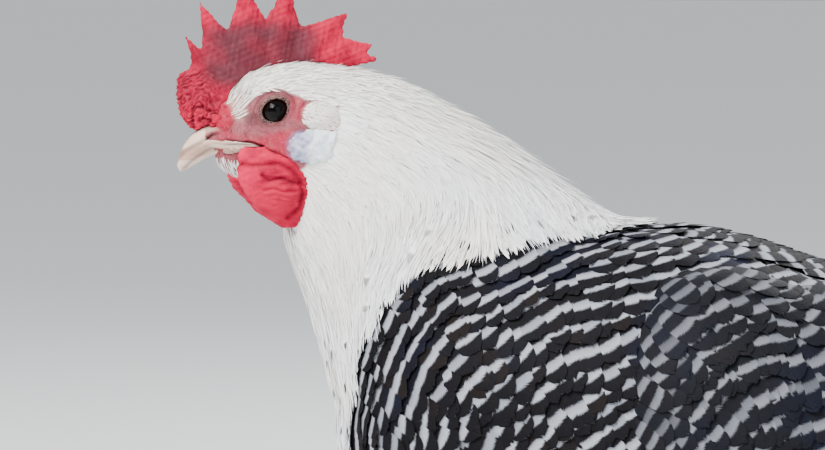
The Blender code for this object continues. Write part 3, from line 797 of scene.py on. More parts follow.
def barred_rows(name, bed, field, heading, levels, spacing, period, wanted, half_width, lifts, seed,
                material, haze=None):
    """Rows of barred feathers whose bars run on from one feather to the next."""
    chance = np.random.default_rng(seed)
    from_tip = BODY_ROWS_FROM_TIP
    length = from_tip[0] * period
    shares = 1 - from_tip / from_tip[0]
    roots = bed.row_roots(field, levels, spacing, wanted, seed)
    slope, outward = slope_of(field, roots), bed.settled(roots)[1]
    steep = np.linalg.norm(slope - outward * (slope * outward).sum(1)[:, None], axis=1)
    scale = np.clip(1 / np.maximum(steep, 0.3), 0.75, 1.15)
    lengths = length * scale + chance.normal(0, 0.25, len(roots))
    lift_tip = lifts[1] + chance.uniform(-0.25, 0.25, len(roots))
    lines, ups = laid(bed, roots, lengths, shares, heading, lifts[0], lift_tip, 1.1, 0.035, seed + 1)
    profile = width_profile(shares, 0.45, 0.5, 0.17)
    widths = half_width * scale[:, None] * profile * chance.uniform(0.92, 1.1, (len(roots), 1))
    roll = chance.normal(0.02, 0.03, len(roots))
    return feather_mesh(name, lines, ups, widths, from_tip, material, 0.07, 0.32, white_bands(from_tip),
                        roll=roll, ragged=0.035, columns=6, seed=seed + 2, bake_at=roots,
                        extra={"haze": haze(roots)} if haze else None)


def bar_rows(length, period):
    """Rows from root to tip of a long feather, in bar periods from the tip, with one at each bar's edge."""
    periods = length / period
    rows = [0.0, 0.08, 0.24, 0.4]
    for k in range(int(periods) + 1):
        rows += [k + WHITE_BAR[0], k + (WHITE_BAR[0] + WHITE_BAR[1]) / 2, k + WHITE_BAR[1], k + 1.26]
    return np.array([row for row in rows if row < periods - 0.1] + [periods])[::-1]


def quill_mesh(name, feathers, period, material, seed):
    """Long barred feathers as one mesh, each given by its line, its outward directions, half width and roll."""
    parts = []
    for number, (line, outward, half_width, roll) in enumerate(feathers):
        length = np.linalg.norm(np.diff(line, axis=0), axis=1).sum()
        from_tip = bar_rows(length, period)
        shares = 1 - from_tip / from_tip[0]
        at = shares * (len(line) - 1)
        widths = half_width * width_profile(shares, 0.35, 0.35, min(0.9 * half_width / length, 0.4))
        parts.append(feather_mesh(
            f"{name}_{number}", catmull(line, at)[None], unit(catmull(outward, at))[None], widths[None],
            from_tip, material, 0.14, 0.5, white_bands(from_tip), roll=roll, ragged=0.02,
            columns=7, seed=seed + number,
        ))
    return joined_objects(name, parts)


def joined_objects(name, things):
    """Several objects as one, under a new name."""
    for thing in bpy.context.selected_objects:
        thing.select_set(False)
    for thing in things:
        thing.select_set(True)
    bpy.context.view_layer.objects.active = things[0]
    bpy.ops.object.join()
    things[0].name = things[0].data.name = name
    return things[0]


# Materials


def material_of(name, make, *values):
    """A material that is made once, when make fills its tree."""
    if name not in bpy.data.materials:
        material = bpy.data.materials.new(name)
        material.use_nodes = True
        make(material.node_tree, material.node_tree.nodes["Principled BSDF"], *values)
    return bpy.data.materials[name]


def fed(tree, slots, values):
    """Gives each slot its value: a socket is linked, and a number or a colour is set."""
    for slot, value in zip(slots, values):
        if isinstance(value, bpy.types.NodeSocket):
            tree.links.new(value, slot)
        else:
            slot.default_value = value


def maths(tree, operation, *values):
    node = tree.nodes.new("ShaderNodeMath")
    node.operation = operation
    fed(tree, node.inputs, values)
    return node.outputs[0]


def ranged(tree, value, low, high, to_low=0.0, to_high=1.0):
    node = tree.nodes.new("ShaderNodeMapRange")
    node.interpolation_type = "SMOOTHSTEP"
    fed(tree, node.inputs, (value, low, high, to_low, to_high))
    return node.outputs[0]


def layered(tree, colour, *layers):
    """Colours laid over one another: each layer is its share and a colour or socket."""
    for share, over in layers:
        node = tree.nodes.new("ShaderNodeMix")
        node.data_type = "RGBA"
        ends = [each if isinstance(each, bpy.types.NodeSocket) else (*each, 1) for each in (colour, over)]
        fed(tree, (node.inputs["Factor"], node.inputs[6], node.inputs[7]), (share, *ends))
        colour = node.outputs[2]
    return colour


def noise(tree, vector, scale, detail=2.0):
    node = tree.nodes.new("ShaderNodeTexNoise")
    fed(tree, [node.inputs[name] for name in ("Vector", "Scale", "Detail")], (vector, scale, detail))
    return node.outputs["Fac"]


def attribute(tree, name):
    node = tree.nodes.new("ShaderNodeAttribute")
    node.attribute_name = name
    return node.outputs["Fac"]


def object_vector(tree):
    return tree.nodes.new("ShaderNodeTexCoord").outputs["Object"]


def feather_uv(tree):
    """The place on a feather: across it from 0 to 1, and bar periods from its tip."""
    node = tree.nodes.new("ShaderNodeUVMap")
    node.uv_map = "Feather"
    parts = tree.nodes.new("ShaderNodeSeparateXYZ")
    tree.links.new(node.outputs[0], parts.inputs[0])
    return parts.outputs[0], parts.outputs[1]


def surfaced(tree, shader, colour, rough, specular=0.5):
    names = ("Base Color", "Roughness", "Specular IOR Level")
    fed(tree, [shader.inputs[name] for name in names], (colour, rough, specular))


def bumped(tree, shader, height, distance, strength=1.0):
    node = tree.nodes.new("ShaderNodeBump")
    names = ("Height", "Distance", "Strength")
    fed(tree, [node.inputs[name] for name in names], (height, distance * MM, strength))
    tree.links.new(node.outputs[0], shader.inputs["Normal"])


def placed_group(tree, name, inputs, outputs, make, values):
    """A node of a shader group that is made once: its inputs have names and defaults, and make fills it."""
    if name not in bpy.data.node_groups:
        group = bpy.data.node_groups.new(name, "ShaderNodeTree")
        for each, default in inputs:
            made = group.interface.new_socket(each, in_out="INPUT", socket_type="NodeSocketFloat")
            made.default_value = default
        for each in outputs:
            group.interface.new_socket(each, in_out="OUTPUT", socket_type="NodeSocketFloat")
        source, sink = group.nodes.new("NodeGroupInput"), group.nodes.new("NodeGroupOutput")
        fed(group, sink.inputs, make(group, *source.outputs[:len(inputs)]))
    node = tree.nodes.new("ShaderNodeGroup")
    node.node_tree = bpy.data.node_groups[name]
    fed(tree, node.inputs, values)
    return node.outputs


def barbs(tree, *values):
    """Fine barbs that slant from a feather's shaft to its edges: their height and their strands."""

    def make(group, across, along, count, tone):
        aside = maths(group, "ABSOLUTE", maths(group, "SUBTRACT", across, 0.5))
        slanted = maths(group, "ADD", along, maths(group, "MULTIPLY", aside, 0.9))
        place = group.nodes.new("ShaderNodeCombineXYZ")
        fed(group, place.inputs, (maths(group, "MULTIPLY", slanted, count), maths(group, "MULTIPLY", aside, 1.6),
                                  maths(group, "MULTIPLY", tone, 37.0)))
        strand = noise(group, place.outputs[0], 1.0, 3.0)
        shaft = ranged(group, aside, 0.0, 0.045, 1.0, 0.0)
        return maths(group, "ADD", strand, maths(group, "MULTIPLY", shaft, 0.25)), strand

    inputs = (("Across", 0.5), ("Along", 0.0), ("Count", 12.0), ("Tone", 0.5))
    return placed_group(tree, "Barbs", inputs, ("Height", "Strand"), make, values)[:2]


def bars(tree, *values):
    """Where the white bars are on a place counted in bar periods, with rough edges."""

    def make(group, along, rough):
        shifted = maths(group, "MULTIPLY", maths(group, "SUBTRACT", rough, 0.5), 0.22)
        part = maths(group, "FRACT", maths(group, "ADD", maths(group, "ADD", along, shifted), 8.0))
        low = ranged(group, part, WHITE_BAR[0] - 0.07, WHITE_BAR[0] + 0.07)
        high = ranged(group, part, WHITE_BAR[1] - 0.09, WHITE_BAR[1] + 0.05, 1.0, 0.0)
        return (maths(group, "MULTIPLY", low, high),)

    return placed_group(tree, "Bars", (("Along", 0.0), ("Rough", 0.0)), ("White",), make, values)[0]


def plumage(tree, shader, look):
    """Barred or white feathers, by look."""
    across, along = feather_uv(tree)
    tone = attribute(tree, "tone")
    height, strand = barbs(tree, across, along, look["barbs"], tone)
    if look["kind"] == "barred":
        # Painted sheen: blue patches from a noise over the black bars
        sky = noise(tree, object_vector(tree), 22.0)
        part = maths(tree, "FRACT", maths(tree, "ADD", along, 8.0))
        dark = layered(tree, look["black"], (ranged(tree, sky, 0.5, 0.72), look["navy"]),
                       (ranged(tree, tone, 0.85, 1.0), look["brown"]))
        # The white bars grey towards their root side: painted shade where the feather above overlaps them
        bright = layered(tree, look["grey"], (ranged(tree, tone, 0.0, 0.6), look["white"]),
                         (ranged(tree, part, 0.62, 1.0, 0.0, 0.6), look["root"]))
        # Painted shade darkens both bars by the wing's fold and along its upper edge
        colour = layered(tree, dark, (bars(tree, along, strand), bright), (attribute(tree, "haze"), look["haze"]))
    else:
        tip = ranged(tree, along, look["fleck_from"], look["fleck_to"], 1.0, 0.0)
        colour = layered(
            tree, look["cool"], (attribute(tree, "warmth"), look["warm"]),
            (ranged(tree, strand, 0.35, 0.65, 0.0, 0.30), look["shade"]),
            (maths(tree, "MULTIPLY", attribute(tree, "fleck"), tip), look["black"]),
        )
    surfaced(tree, shader, colour, look["rough"], look["specular"])
    bumped(tree, shader, height, look["bump"])


def barred_feathers(settings):
    look = BARRED_LOOK | {"black": settings.dark_bar, "white": settings.light_bar}
    return material_of("barred_feathers", plumage, look)


def white_feathers(settings):
    return material_of("white_feathers", plumage, WHITE_LOOK | {"cool": settings.neck_white})


# Looks: the colours of each surface, and how rough, grainy and shiny it is
BARRED_LOOK = {
    "kind": "barred", "barbs": 26.0, "bump": 0.2, "rough": 0.65, "specular": 0.08,
    # Of these, the blue one is a painted sheen on the black bars
    "black": (0.0042, 0.0036, 0.0050), "navy": (0.005, 0.007, 0.019), "brown": (0.008, 0.0055, 0.0055),
    # Of these, the root colour is painted shade on the root side of each white bar
    "grey": (0.20, 0.21, 0.24), "white": (0.30, 0.31, 0.345), "root": (0.13, 0.135, 0.16),
    # The colour that the painted shade on the wing darkens towards
    "haze": (0.0065, 0.0075, 0.011),
}
WHITE_LOOK = {
    "kind": "white", "barbs": 9.0, "bump": 0.12, "rough": 0.7, "specular": 0.12,
    "cool": (0.88, 0.90, 0.93), "warm": (0.93, 0.88, 0.80), "shade": (0.86, 0.84, 0.81),
    "black": (0.02, 0.02, 0.024), "fleck_from": 0.16, "fleck_to": 0.24,
}
# On the comb, wattles and lobes the deep colour also paints shade in folds, creases and cracks, and the light
# colour also paints highlights on grains and the tops of folds
COMB_LOOK = {
    "plain": (0.25, 0.003, 0.024), "strong": (0.46, 0.0, 0.034), "deep": (0.085, 0.0, 0.006),
    "dusk": (0.088, 0.021, 0.030), "light": (0.55, 0.07, 0.105), "pale": (0.60, 0.25, 0.24),
    "speckle": 0.36, "rough": 0.6,
}
WATTLE_LOOK = {
    "plain": (0.60, 0.0, 0.050), "strong": (0.40, 0.0, 0.028), "deep": (0.08, 0.0, 0.006),
    "dusk": (0.10, 0.006, 0.012), "light": (0.76, 0.05, 0.11), "pale": (0.60, 0.35, 0.32),
    "speckle": 0.34, "rough": 0.6,
}
LID_LOOK = {
    "plain": (0.21, 0.10, 0.09), "strong": (0.31, 0.03, 0.045), "deep": (0.19, 0.075, 0.075),
    "dusk": (0.014, 0.008, 0.008), "light": (0.34, 0.22, 0.19), "pale": (0.6, 0.5, 0.45),
    "speckle": 0.8, "rough": 0.45,
}
LOBE_LOOK = {
    "plain": (0.80, 0.87, 0.90), "strong": (0.19, 0.15, 0.33), "deep": (0.40, 0.50, 0.60),
    "dusk": (0.05, 0.045, 0.065), "light": (0.90, 0.93, 0.94), "pale": (0.42, 0.09, 0.11),
    "speckle": 0.8, "rough": 0.42,
}
SKIN_LOOK = {
    "black": (0.006, 0.0055, 0.007), "white_bar": (0.3, 0.31, 0.33), "white": (0.86, 0.85, 0.83),
    "plain": (0.27, 0.080, 0.092), "deep": (0.19, 0.049, 0.058), "strong": (0.40, 0.010, 0.040),
    "lilac": (0.24, 0.20, 0.35), "pale": (0.50, 0.28, 0.235), "light": (0.46, 0.145, 0.165),
    # The dusk colour also paints shade in the face's creases, in the nostril and under the jaw
    "dusk": (0.024, 0.009, 0.009),
}
EYE_LOOK = {
    "pupil": (0.0008, 0.0008, 0.001), "deep": (0.002, 0.0008, 0.0005), "iris": (0.007, 0.0026, 0.0014),
    "rim": (0.002, 0.0015, 0.0015),
}
HORN_LOOK = {"deep": (0.45, 0.27, 0.20), "plain": (0.74, 0.52, 0.42), "dusk": (0.05, 0.030, 0.027)}
LEG_LOOK = {
    "deep": (0.105, 0.12, 0.145), "plain": (0.19, 0.21, 0.235), "edge": (0.05, 0.056, 0.072),
    # The groove colour is painted shade
    "groove": (0.03, 0.033, 0.043),
}


# Settings that a user would change


class HenPlumage(bpy.types.PropertyGroup):
    bar_period: bpy.props.FloatProperty(
        name="Bar period", description="From one white bar to the next on the body",
        default=0.0082, unit="LENGTH",
    )
    wing_period: bpy.props.FloatProperty(
        name="Wing bar period", description="From one white bar to the next on the wing",
        default=0.0083, unit="LENGTH",
    )
    body_step: bpy.props.FloatProperty(
        name="Feather step", description="From one body feather to the next in a row",
        default=0.0058, unit="LENGTH",
    )
    body_width: bpy.props.FloatProperty(
        name="Feather width", description="Full width of a body feather", default=0.0092, unit="LENGTH",
    )
    hackle_gap: bpy.props.FloatProperty(
        name="Hackle gap", description="Between neck feathers at the shoulders", default=0.0026, unit="LENGTH",
    )
    seed: bpy.props.IntProperty(name="Seed", description="Changes where each feather lies", default=11)
    dark_bar: bpy.props.FloatVectorProperty(
        name="Dark bars", description="Colour of the dark bars", default=BARRED_LOOK["black"],
        subtype="COLOR", min=0.0, max=1.0,
    )
    light_bar: bpy.props.FloatVectorProperty(
        name="Light bars", description="Colour of the light bars", default=BARRED_LOOK["white"],
        subtype="COLOR", min=0.0, max=1.0,
    )
    neck_white: bpy.props.FloatVectorProperty(
        name="Neck", description="Colour of the neck feathers", default=WHITE_LOOK["cool"],
        subtype="COLOR", min=0.0, max=1.0,
    )


class HenSkin(bpy.types.PropertyGroup):
    grain: bpy.props.FloatProperty(
        name="Comb grain", description="Distance between the small grains on the comb",
        default=0.0009, unit="LENGTH",
    )
    comb_red: bpy.props.FloatVectorProperty(
        name="Comb", description="Colour of the comb's strong red", default=COMB_LOOK["strong"],
        subtype="COLOR", min=0.0, max=1.0,
    )
    wattle_red: bpy.props.FloatVectorProperty(
        name="Wattles", description="Colour of the wattles", default=WATTLE_LOOK["plain"],
        subtype="COLOR", min=0.0, max=1.0,
    )
    lobe_white: bpy.props.FloatVectorProperty(
        name="Ear lobes", description="Colour of the ear lobes", default=LOBE_LOOK["plain"],
        subtype="COLOR", min=0.0, max=1.0,
    )
    horn: bpy.props.FloatVectorProperty(
        name="Horn", description="Colour of the bill and the claws", default=HORN_LOOK["plain"],
        subtype="COLOR", min=0.0, max=1.0,
    )
    leg: bpy.props.FloatVectorProperty(
        name="Legs", description="Colour of the legs' scales", default=LEG_LOOK["plain"],
        subtype="COLOR", min=0.0, max=1.0,
    )


class HenStage(bpy.types.PropertyGroup):
    azimuth: bpy.props.FloatProperty(
        name="Azimuth", description="Where the camera stands round the hen",
        default=math.radians(10), subtype="ANGLE",
    )
    elevation: bpy.props.FloatProperty(
        name="Elevation", description="How far the camera is above level",
        default=math.radians(4), subtype="ANGLE",
    )
    lens: bpy.props.FloatProperty(
        name="Lens", description="Focal length in millimetres", default=192.0, unit="CAMERA",
    )
    distance: bpy.props.FloatProperty(
        name="Distance", description="From the camera to the middle of the picture", default=1.6, unit="LENGTH",
    )
    floor: bpy.props.FloatVectorProperty(
        name="Floor", description="Colour of the floor", default=(0.84, 0.85, 0.84),
        subtype="COLOR", min=0.0, max=1.0,
    )


# Pieces


def make_skin():
    """One skin inside the coat, with finer mesh and relief on the face."""
    kept_bed("bed")
    thing = linked("skin", shared["bed_mesh"].copy())

    def depth():
        points = places(thing)
        return face_depth(points) - 12 * ~on_head(points)

    near = depth()
    made = bmesh.new()
    made.from_mesh(thing.data)
    made.verts.ensure_lookup_table()
    edges = [e for e in made.edges if all(near[v.index] > -3.5 for v in e.verts)]
    bmesh.ops.subdivide_edges(made, edges=edges, cuts=4, use_grid_fill=True)
    made.to_mesh(thing.data)
    made.free()
    thing.data.shade_smooth()
    near = depth()
    evened(thing, 6, 0.5 * (near > -3)[:, None])
    points, normals = places(thing), vertex_normals(thing)
    height = face_relief(points) * smooth(near, -2.5, 0.5)
    move_to(thing, points + normals * (height - coat_depth(points))[:, None])
    face_painted(thing, points, bareness(points))
    finished(thing, "pink_face", "head", "neck", "torso", "thigh_left", "thigh_right")
    shared["face"] = Bed(thing)


def face_painted(thing, points, bare):
    """Gives a thing the skin's material, coloured by where its points lie."""
    for name, values in face_colours(points).items():
        point_attribute(thing, name, values)
    point_attribute(thing, "bare", bare)
    point_attribute(thing, "behind", body_place(points) / SKIN_PERIOD)
    thing.data.materials.append(material_of("skin", skin))


def oval(x, z, middle, wide, high, turn=0.0):
    """1 at the middle of an oval seen from the side, falling to 0 a little outside it."""
    c, d = math.cos(turn), math.sin(turn)
    a = ((x - middle[0]) * c + (z - middle[1]) * d) / wide
    b = ((z - middle[1]) * c - (x - middle[0]) * d) / high
    return smooth(1.25 - np.hypot(a, b), 0, 0.5)


def lid_distance(x, z):
    """How far from the middle of the eye's opening, counted in its own size."""
    x, z = x - LIDS_AT[0], z - LIDS_AT[2]
    return np.hypot((x * 0.88 + z * 0.47) / 5.7, (z * 0.88 - x * 0.47) / 4.7)


def face_relief(points):
    """Heights of the folds, grains and hollows of the bare face."""
    x, z = seen_from_side(points)
    from_lid = lid_distance(x, z)
    height = -1.5 * smooth(1.06 - from_lid, 0, 0.22)
    height -= 0.4 * np.exp(-(((from_lid - 1.36) / 0.09) ** 2)) * smooth(z - 0.3 * x, -4, 2)
    from_ear = np.hypot((x - EAR_AT[0]) / 6.3, (z - EAR_AT[1]) / 5.5)
    height += 1.7 * smooth(1.1 - from_ear, 0, 0.7) - 0.7 * np.exp(-(((from_ear - 1.12) / 0.1) ** 2))
    height -= 0.9 * crease(x, z, UPPER_LINE, 0.5)
    height -= 0.9 * crease(x, z, LOWER_LINE, 0.55)
    height -= 0.35 * crease(x, z, ((-3.5, -13.5), (1.5, -15.5), (7.5, -18.8)), 0.5)
    folds = np.sin(1.7 * (z + 0.25 * x) + 1.6 * ripple(points, 7, 30))
    height += 0.13 * folds * smooth(-z, 4.5, 8) + 0.10 * ripple(points, 2.3, 33) + 0.12 * ripple(points, 5, 34)
    fine = np.zeros(len(points))
    near = face_depth(points) > -1.5
    fine[near] = grains(points[near], 0.75, 0.34, 35)
    root = oval(x, z, COMB_ROOT, 3.2, 5.2)
    return height + 0.16 * fine + root * (1.3 - 0.3 * ripple(points, 2.2, 39))


def face_colours(points):
    """Colour masks of the face: how red, dusky, lilac and pale it is. The dusk mask also holds painted shade in
    the creases along the bill, in the nostril, in the folds at the comb's root and under the jaw.
    """
    x, z = seen_from_side(points)
    red = smooth(-z + 0.12 * x + 0.8 * ripple(points, 6, 36), 5.0, 10.5) * smooth(9 - x, -1, 5)
    red = np.maximum(red, 0.55 * oval(x, z, (7.4, 1.2), 3.4, 4.6))
    red = np.maximum(red, 0.75 * oval(x, z, (-17.5, -9.2), 4.2, 1.8))
    lilac = oval(x, z, (8.6, -12.2), 4.6, 5.2) * np.clip(0.85 + 0.25 * ripple(points, 3, 37), 0, 1)
    root = oval(x, z, COMB_ROOT, 3.4, 5.4)
    red *= 1 - 0.75 * smooth(-x, 11, 14) * smooth(-z, 13, 15)
    red = np.maximum.reduce([0.75 * red, root, smooth(-z, 19.5, 22)])
    pale = smooth(-x - 0.15 * z, 8.5, 12) * smooth(z, -5, 0) * (1 - root)
    pale = np.maximum(pale, oval(x, z, EAR_AT, 5.8, 5.0))
    dusk = 0.5 * oval(x, z, (-7.8, -2.6), 3.4, 2.4)
    from_lid = lid_distance(x, z)
    dusk = np.maximum(dusk, 0.6 * np.exp(-(((from_lid - 1.36) / 0.07) ** 2)) * smooth(z - 0.3 * x, -3, 2))
    dusk = np.maximum(dusk, 0.3 * smooth(1.6 - from_lid, 0, 0.5))
    # Painted shade: dark in the creases where the cheek meets the bill, in the nostril slit, in the folds at the
    # comb's root and under the jaw
    dusk = np.maximum(dusk, crease(x, z, UPPER_LINE, 0.4))
    dusk = np.maximum(dusk, 0.9 * crease(x, z, LOWER_LINE, 0.4))
    folds = root * (0.1 + 0.3 * smooth(ripple(points, 2.2, 39), -0.1, 0.9))
    dusk = np.maximum.reduce([dusk, crease(x, z, NOSTRIL, 0.42), 0.75 * smooth(-z, 20, 23.5), folds])
    pale = np.maximum(pale, 0.9 * oval(x, z, (-22.6, -6.7), 2.6, 0.9, 0.55))
    grain = np.clip(0.5 + 0.5 * ripple(points, 1.6, 38), 0, 1)
    return {"tint": red, "lilac": lilac, "pale": pale, "dusk": dusk, "grain": grain}


def skin(tree, shader):
    """The bare face, and under the coat the same white and bars as the coat."""
    look, behind, vector = SKIN_LOOK, attribute(tree, "behind"), object_vector(tree)
    barred = layered(tree, look["black"], (bars(tree, behind, noise(tree, vector, 500.0)), look["white_bar"]))
    coat = layered(tree, look["white"], (ranged(tree, behind, -0.3, 0.3), barred))
    fine, broad = noise(tree, vector, 1500.0), noise(tree, vector, 330.0, 3.0)
    light = maths(tree, "MULTIPLY", attribute(tree, "grain"), ranged(tree, fine, 0.42, 0.72, 0.0, 0.5))
    face = layered(
        tree, look["plain"], (ranged(tree, broad, 0.35, 0.65), look["deep"]),
        (attribute(tree, "tint"), look["strong"]), (attribute(tree, "lilac"), look["lilac"]),
        (attribute(tree, "pale"), look["pale"]), (light, look["light"]), (attribute(tree, "dusk"), look["dusk"]),
    )
    surfaced(tree, shader, layered(tree, coat, (attribute(tree, "bare"), face)), 0.55, 0.12)
    bumped(tree, shader, fine, 0.12, 0.7)


def bristles(name, wanted, ways, gap, length, half, lifts, warmth, material, seed):
    """Short fine feathers on the face: wanted tells for points where they grow."""
    bed = shared["face"]
    points, _ = bed.sprinkled(wanted(bed.points), 2.2 / gap**2, seed)
    points = points[spread(points, gap, seed + 1)]
    chance = np.random.default_rng(seed + 2)
    count = len(points)
    lengths = length * chance.uniform(0.7, 1.2, count)
    tips = lifts[1] * chance.uniform(0.6, 1.3, count)
    lines, ups = laid(bed, points, lengths, STRAND_SHARES, steered(ways), lifts[0], tips, 0.9, 0.16, seed + 3)
    widths = half * chance.uniform(0.8, 1.25, (count, 1)) * np.array((0.8, 1.0, 1.0, 0.8, 0.5, 0.12))
    thing = feather_mesh(name, lines, ups, widths, 1 - STRAND_SHARES, material, 0.35, ragged=0.0, columns=3,
                         roll=chance.normal(0, 0.3, count), seed=seed + 4, bake_at=points,
                         extra={"warmth": np.full(count, warmth), "fleck": np.zeros(count)})
    finished(thing, "white_plumage")


def steered(ways):
    """A heading read from the height over the eye: rows of a height and a direction seen from the side."""
    heights, back, up = zip(*ways)

    def heading(points, normals):
        z = from_eye(points)[:, 2]
        flat = np.stack([np.interp(z, heights, back), 0 * z, np.interp(z, heights, up)], 1)
        return along_surface(flat, normals)

    return heading


def on_lore(points):
    """Whether points lie before the eye, where the bristles reach up to the comb."""
    x, z = seen_from_side(points)
    grown = ripple(points, 4, 41) * 0.9
    edge = np.interp(z, (-4, 2, 8, 26), (-12.6, -11.0, -8.6, -4.0)) - grown
    front = np.interp(z, (-2, 4, 10), (-14.6, -16.4, -20)) - grown
    return (x < edge) & (x > front) & (z > -2.5 + grown) & (z < 26) & on_head(points)


def on_ear(points):
    x, z = seen_from_side(points)
    return np.hypot((x - EAR_AT[0]) / 6.2, (z - EAR_AT[1]) / 5.4) < 1


def on_chin(points):
    x, y, z = from_eye(points).T
    return (x > -23) & (x < -13) & (z < -18.6 - 0.1 * x) & (z > -24) & (np.abs(y) < 9)


def on_brow(points):
    x, z = seen_from_side(points)
    rise = 9.2 - 0.03 * (x - 2) ** 2 * (x < 2) - 0.3 * np.maximum(x - 6, 0)
    return (x > -10) & (x < 15) & (z > rise - 0.2) & (z < rise + 4) & on_head(points)


# Feathers of the face: where they grow, their headings, gap, length, half width, lifts and warmth
FACE_FEATHERS = (
    ("lore_bristles", on_lore, ((-4, 0.8, 0.35), (8, 0.7, 0.7), (16, 0.35, 0.95)), 0.72, 4.4, 0.16, (0.0, 1.3),
     0.75),
    ("ear_tufts", on_ear, ((-6, 0.9, -0.5), (4, 0.95, -0.1)), 0.42, 2.6, 0.2, (0.0, 0.4), 1.3),
    ("chin_bristles", on_chin, ((-26, 0.4, -0.9), (-17, 0.0, -1.0)), 0.8, 3.6, 0.2, (0.0, 1.0), 0.5),
    ("brow_feathers", on_brow, ((4, 0.95, 0.1), (12, 0.97, -0.05)), 0.6, 5.0, 0.34, (0.0, 0.7), 0.9),
)


def make_face_feathers(settings):
    for number, row in enumerate(FACE_FEATHERS):
        bristles(*row, white_feathers(settings), settings.seed + 120 + 10 * number)


def neck_roots(wanted, density, most_bare, seed):
    """Random roots of white feathers, with their places along the neck and behind its edge."""
    points, _ = kept_bed("bed").sprinkled(wanted, density, seed)
    along, behind = neck_place(points), body_place(points)
    keep = (bareness(points) < most_bare) & (behind < -5) & ~under_bill(points)
    return points[keep], along[keep], behind[keep]


def warmth_at(points, along):
    """How warm a white feather looks, most of all on the head."""
    return np.clip(1.0 - along / 150 + 0.25 * ripple(points, 30, 9), 0, 1)


def white_vanes(name, lines, ups, widths, from_tip, material, roll, seed, warmth, fleck):
    thing = feather_mesh(name, lines, ups, widths, from_tip, material, 0.15, 0.3, ragged=0.16, columns=4,
                         roll=roll, seed=seed, extra={"warmth": warmth, "fleck": fleck})
    finished(thing, "white_plumage")


def make_neck_coat(settings):
    bed, material, seed = kept_bed("bed"), white_feathers(settings), settings.seed
    bed_along, bed_behind = neck_place(bed.points), body_place(bed.points)
    above = bed.points[:, 2] > WHITE_FLOOR
    points, along, behind = neck_roots((bed_behind < 0) & (bed_along > 6) & above, 2.5, 0.4, seed)
    size = smooth(along, 25, 125)
    chosen = spread(points, mixed(1.1, settings.hackle_gap / MM, size), seed + 1)
    points, along, size, behind = points[chosen], along[chosen], size[chosen], behind[chosen]
    chance = np.random.default_rng(seed + 2)
    lengths = mixed(5.5, 25.0, size) * chance.uniform(0.85, 1.15, len(points))
    lengths = np.minimum(lengths, np.maximum(6.0 - behind, 7) * chance.uniform(0.85, 1.1, len(points)))
    half = mixed(0.8, 1.8, size) * chance.uniform(0.8, 1.2, len(points))
    warmth = warmth_at(points, along)
    shares = np.array((0.0, 0.2, 0.42, 0.62, 0.78, 0.9, 1.0))
    profile = width_profile(shares, 0.5, 0.35, 0.75)
    front = smooth(-points[:, 0], 100, 122) * smooth(285 - points[:, 2], 0, 40)
    fleck = (chance.random(len(points)) < 0.5 * front * (np.abs(points[:, 1]) < 46)).astype(float)
    for number, (low, high) in enumerate(((0, 66), (66, 108), (108, 999))):
        part = (along >= low) & (along < high)
        lift_tip = mixed(0.35, 1.0, size[part]) * chance.uniform(0.8, 1.2, part.sum())
        lines, ups = laid(bed, points[part], lengths[part], shares, neck_heading, mixed(-0.6, -1.2, size[part]),
                          lift_tip, 0.9, 0.09, seed + 3)
        clear = clear_of_head(lines)
        white_vanes(
            f"neck_coat_{number + 1}", lines[clear], ups[clear], (half[part][:, None] * profile)[clear],
            1 - shares, material, chance.normal(0, 0.07, clear.sum()), seed + 4 + number,
            warmth[part][clear], fleck[part][clear],
        )
    # Flecked feathers on the throat and along the edge of the bars
    points, _ = bed.sprinkled((bed_behind > -40) & (bed_behind < 2), 0.5, seed + 7)
    x, z, behind = points[:, 0], points[:, 2], body_place(points)
    throat = (x < -136) & (z > 216) & (z < 262) & (behind < -5)
    edge = (behind > -15) & (behind < -6) & (chance.random(len(points)) < 0.3)
    points = points[throat | edge]
    points = points[spread(points, np.where(points[:, 0] < -136, 8.0, 10.0), seed + 8)]
    count = len(points)
    lines, ups = laid(bed, points, 9 * chance.uniform(0.7, 1.2, count), shares, neck_heading, 0.3, 1.9, 0.9, 0.2,
                      seed + 9)
    white_vanes("flecked_feathers", lines, ups, 1.1 * profile * np.ones((count, 1)), 0.5 - 0.5 * shares, material,
                chance.normal(0, 0.1, count), seed + 9, np.full(count, 0.5), chance.uniform(0.6, 1.0, count))
    # Fine strands over the vanes
    points, along, behind = neck_roots((bed_behind < 4) & (bed_along > 8) & above, 0.42, 0.2, seed + 10)
    size = smooth(along, 25, 125)
    warmth = warmth_at(points, along)
    for number, (low, high) in enumerate(((0, 80), (80, 999))):
        part = (along >= low) & (along < high)
        count = part.sum()
        lengths = mixed(6, 27, size[part]) * chance.uniform(0.7, 1.15, count)
        lengths = np.minimum(lengths, np.maximum(7 - behind[part], 8) * chance.uniform(0.8, 1.15, count))
        lift_tip = mixed(0.7, 1.7, size[part]) * chance.uniform(0.7, 1.3, count)
        rising = smooth(bed.settled(points[part])[1][:, 2], 0.2, 0.7) * smooth(110 - along[part], 0, 20)
        lift_tip *= 1 + (chance.random(count) < 0.25) * 1.3 * rising
        lines, ups = laid(bed, points[part], lengths, STRAND_SHARES, neck_heading, 0.0, lift_tip, 0.8, 0.14,
                          seed + 11)
        widths = mixed(0.16, 0.34, size[part])[:, None] * np.array((0.7, 1.0, 1.0, 0.75, 0.4, 0.08))
        clear = clear_of_head(lines)
        count = clear.sum()
        finished(feather_mesh(
            f"neck_strands_{number + 1}", lines[clear], ups[clear], widths[clear], 1 - STRAND_SHARES, material,
            0.3, ragged=0.0, columns=3, roll=chance.normal(0, 0.3, count), seed=seed + 12 + number,
            extra={"warmth": warmth[part][clear], "fleck": np.zeros(count)},
        ), "white_plumage")


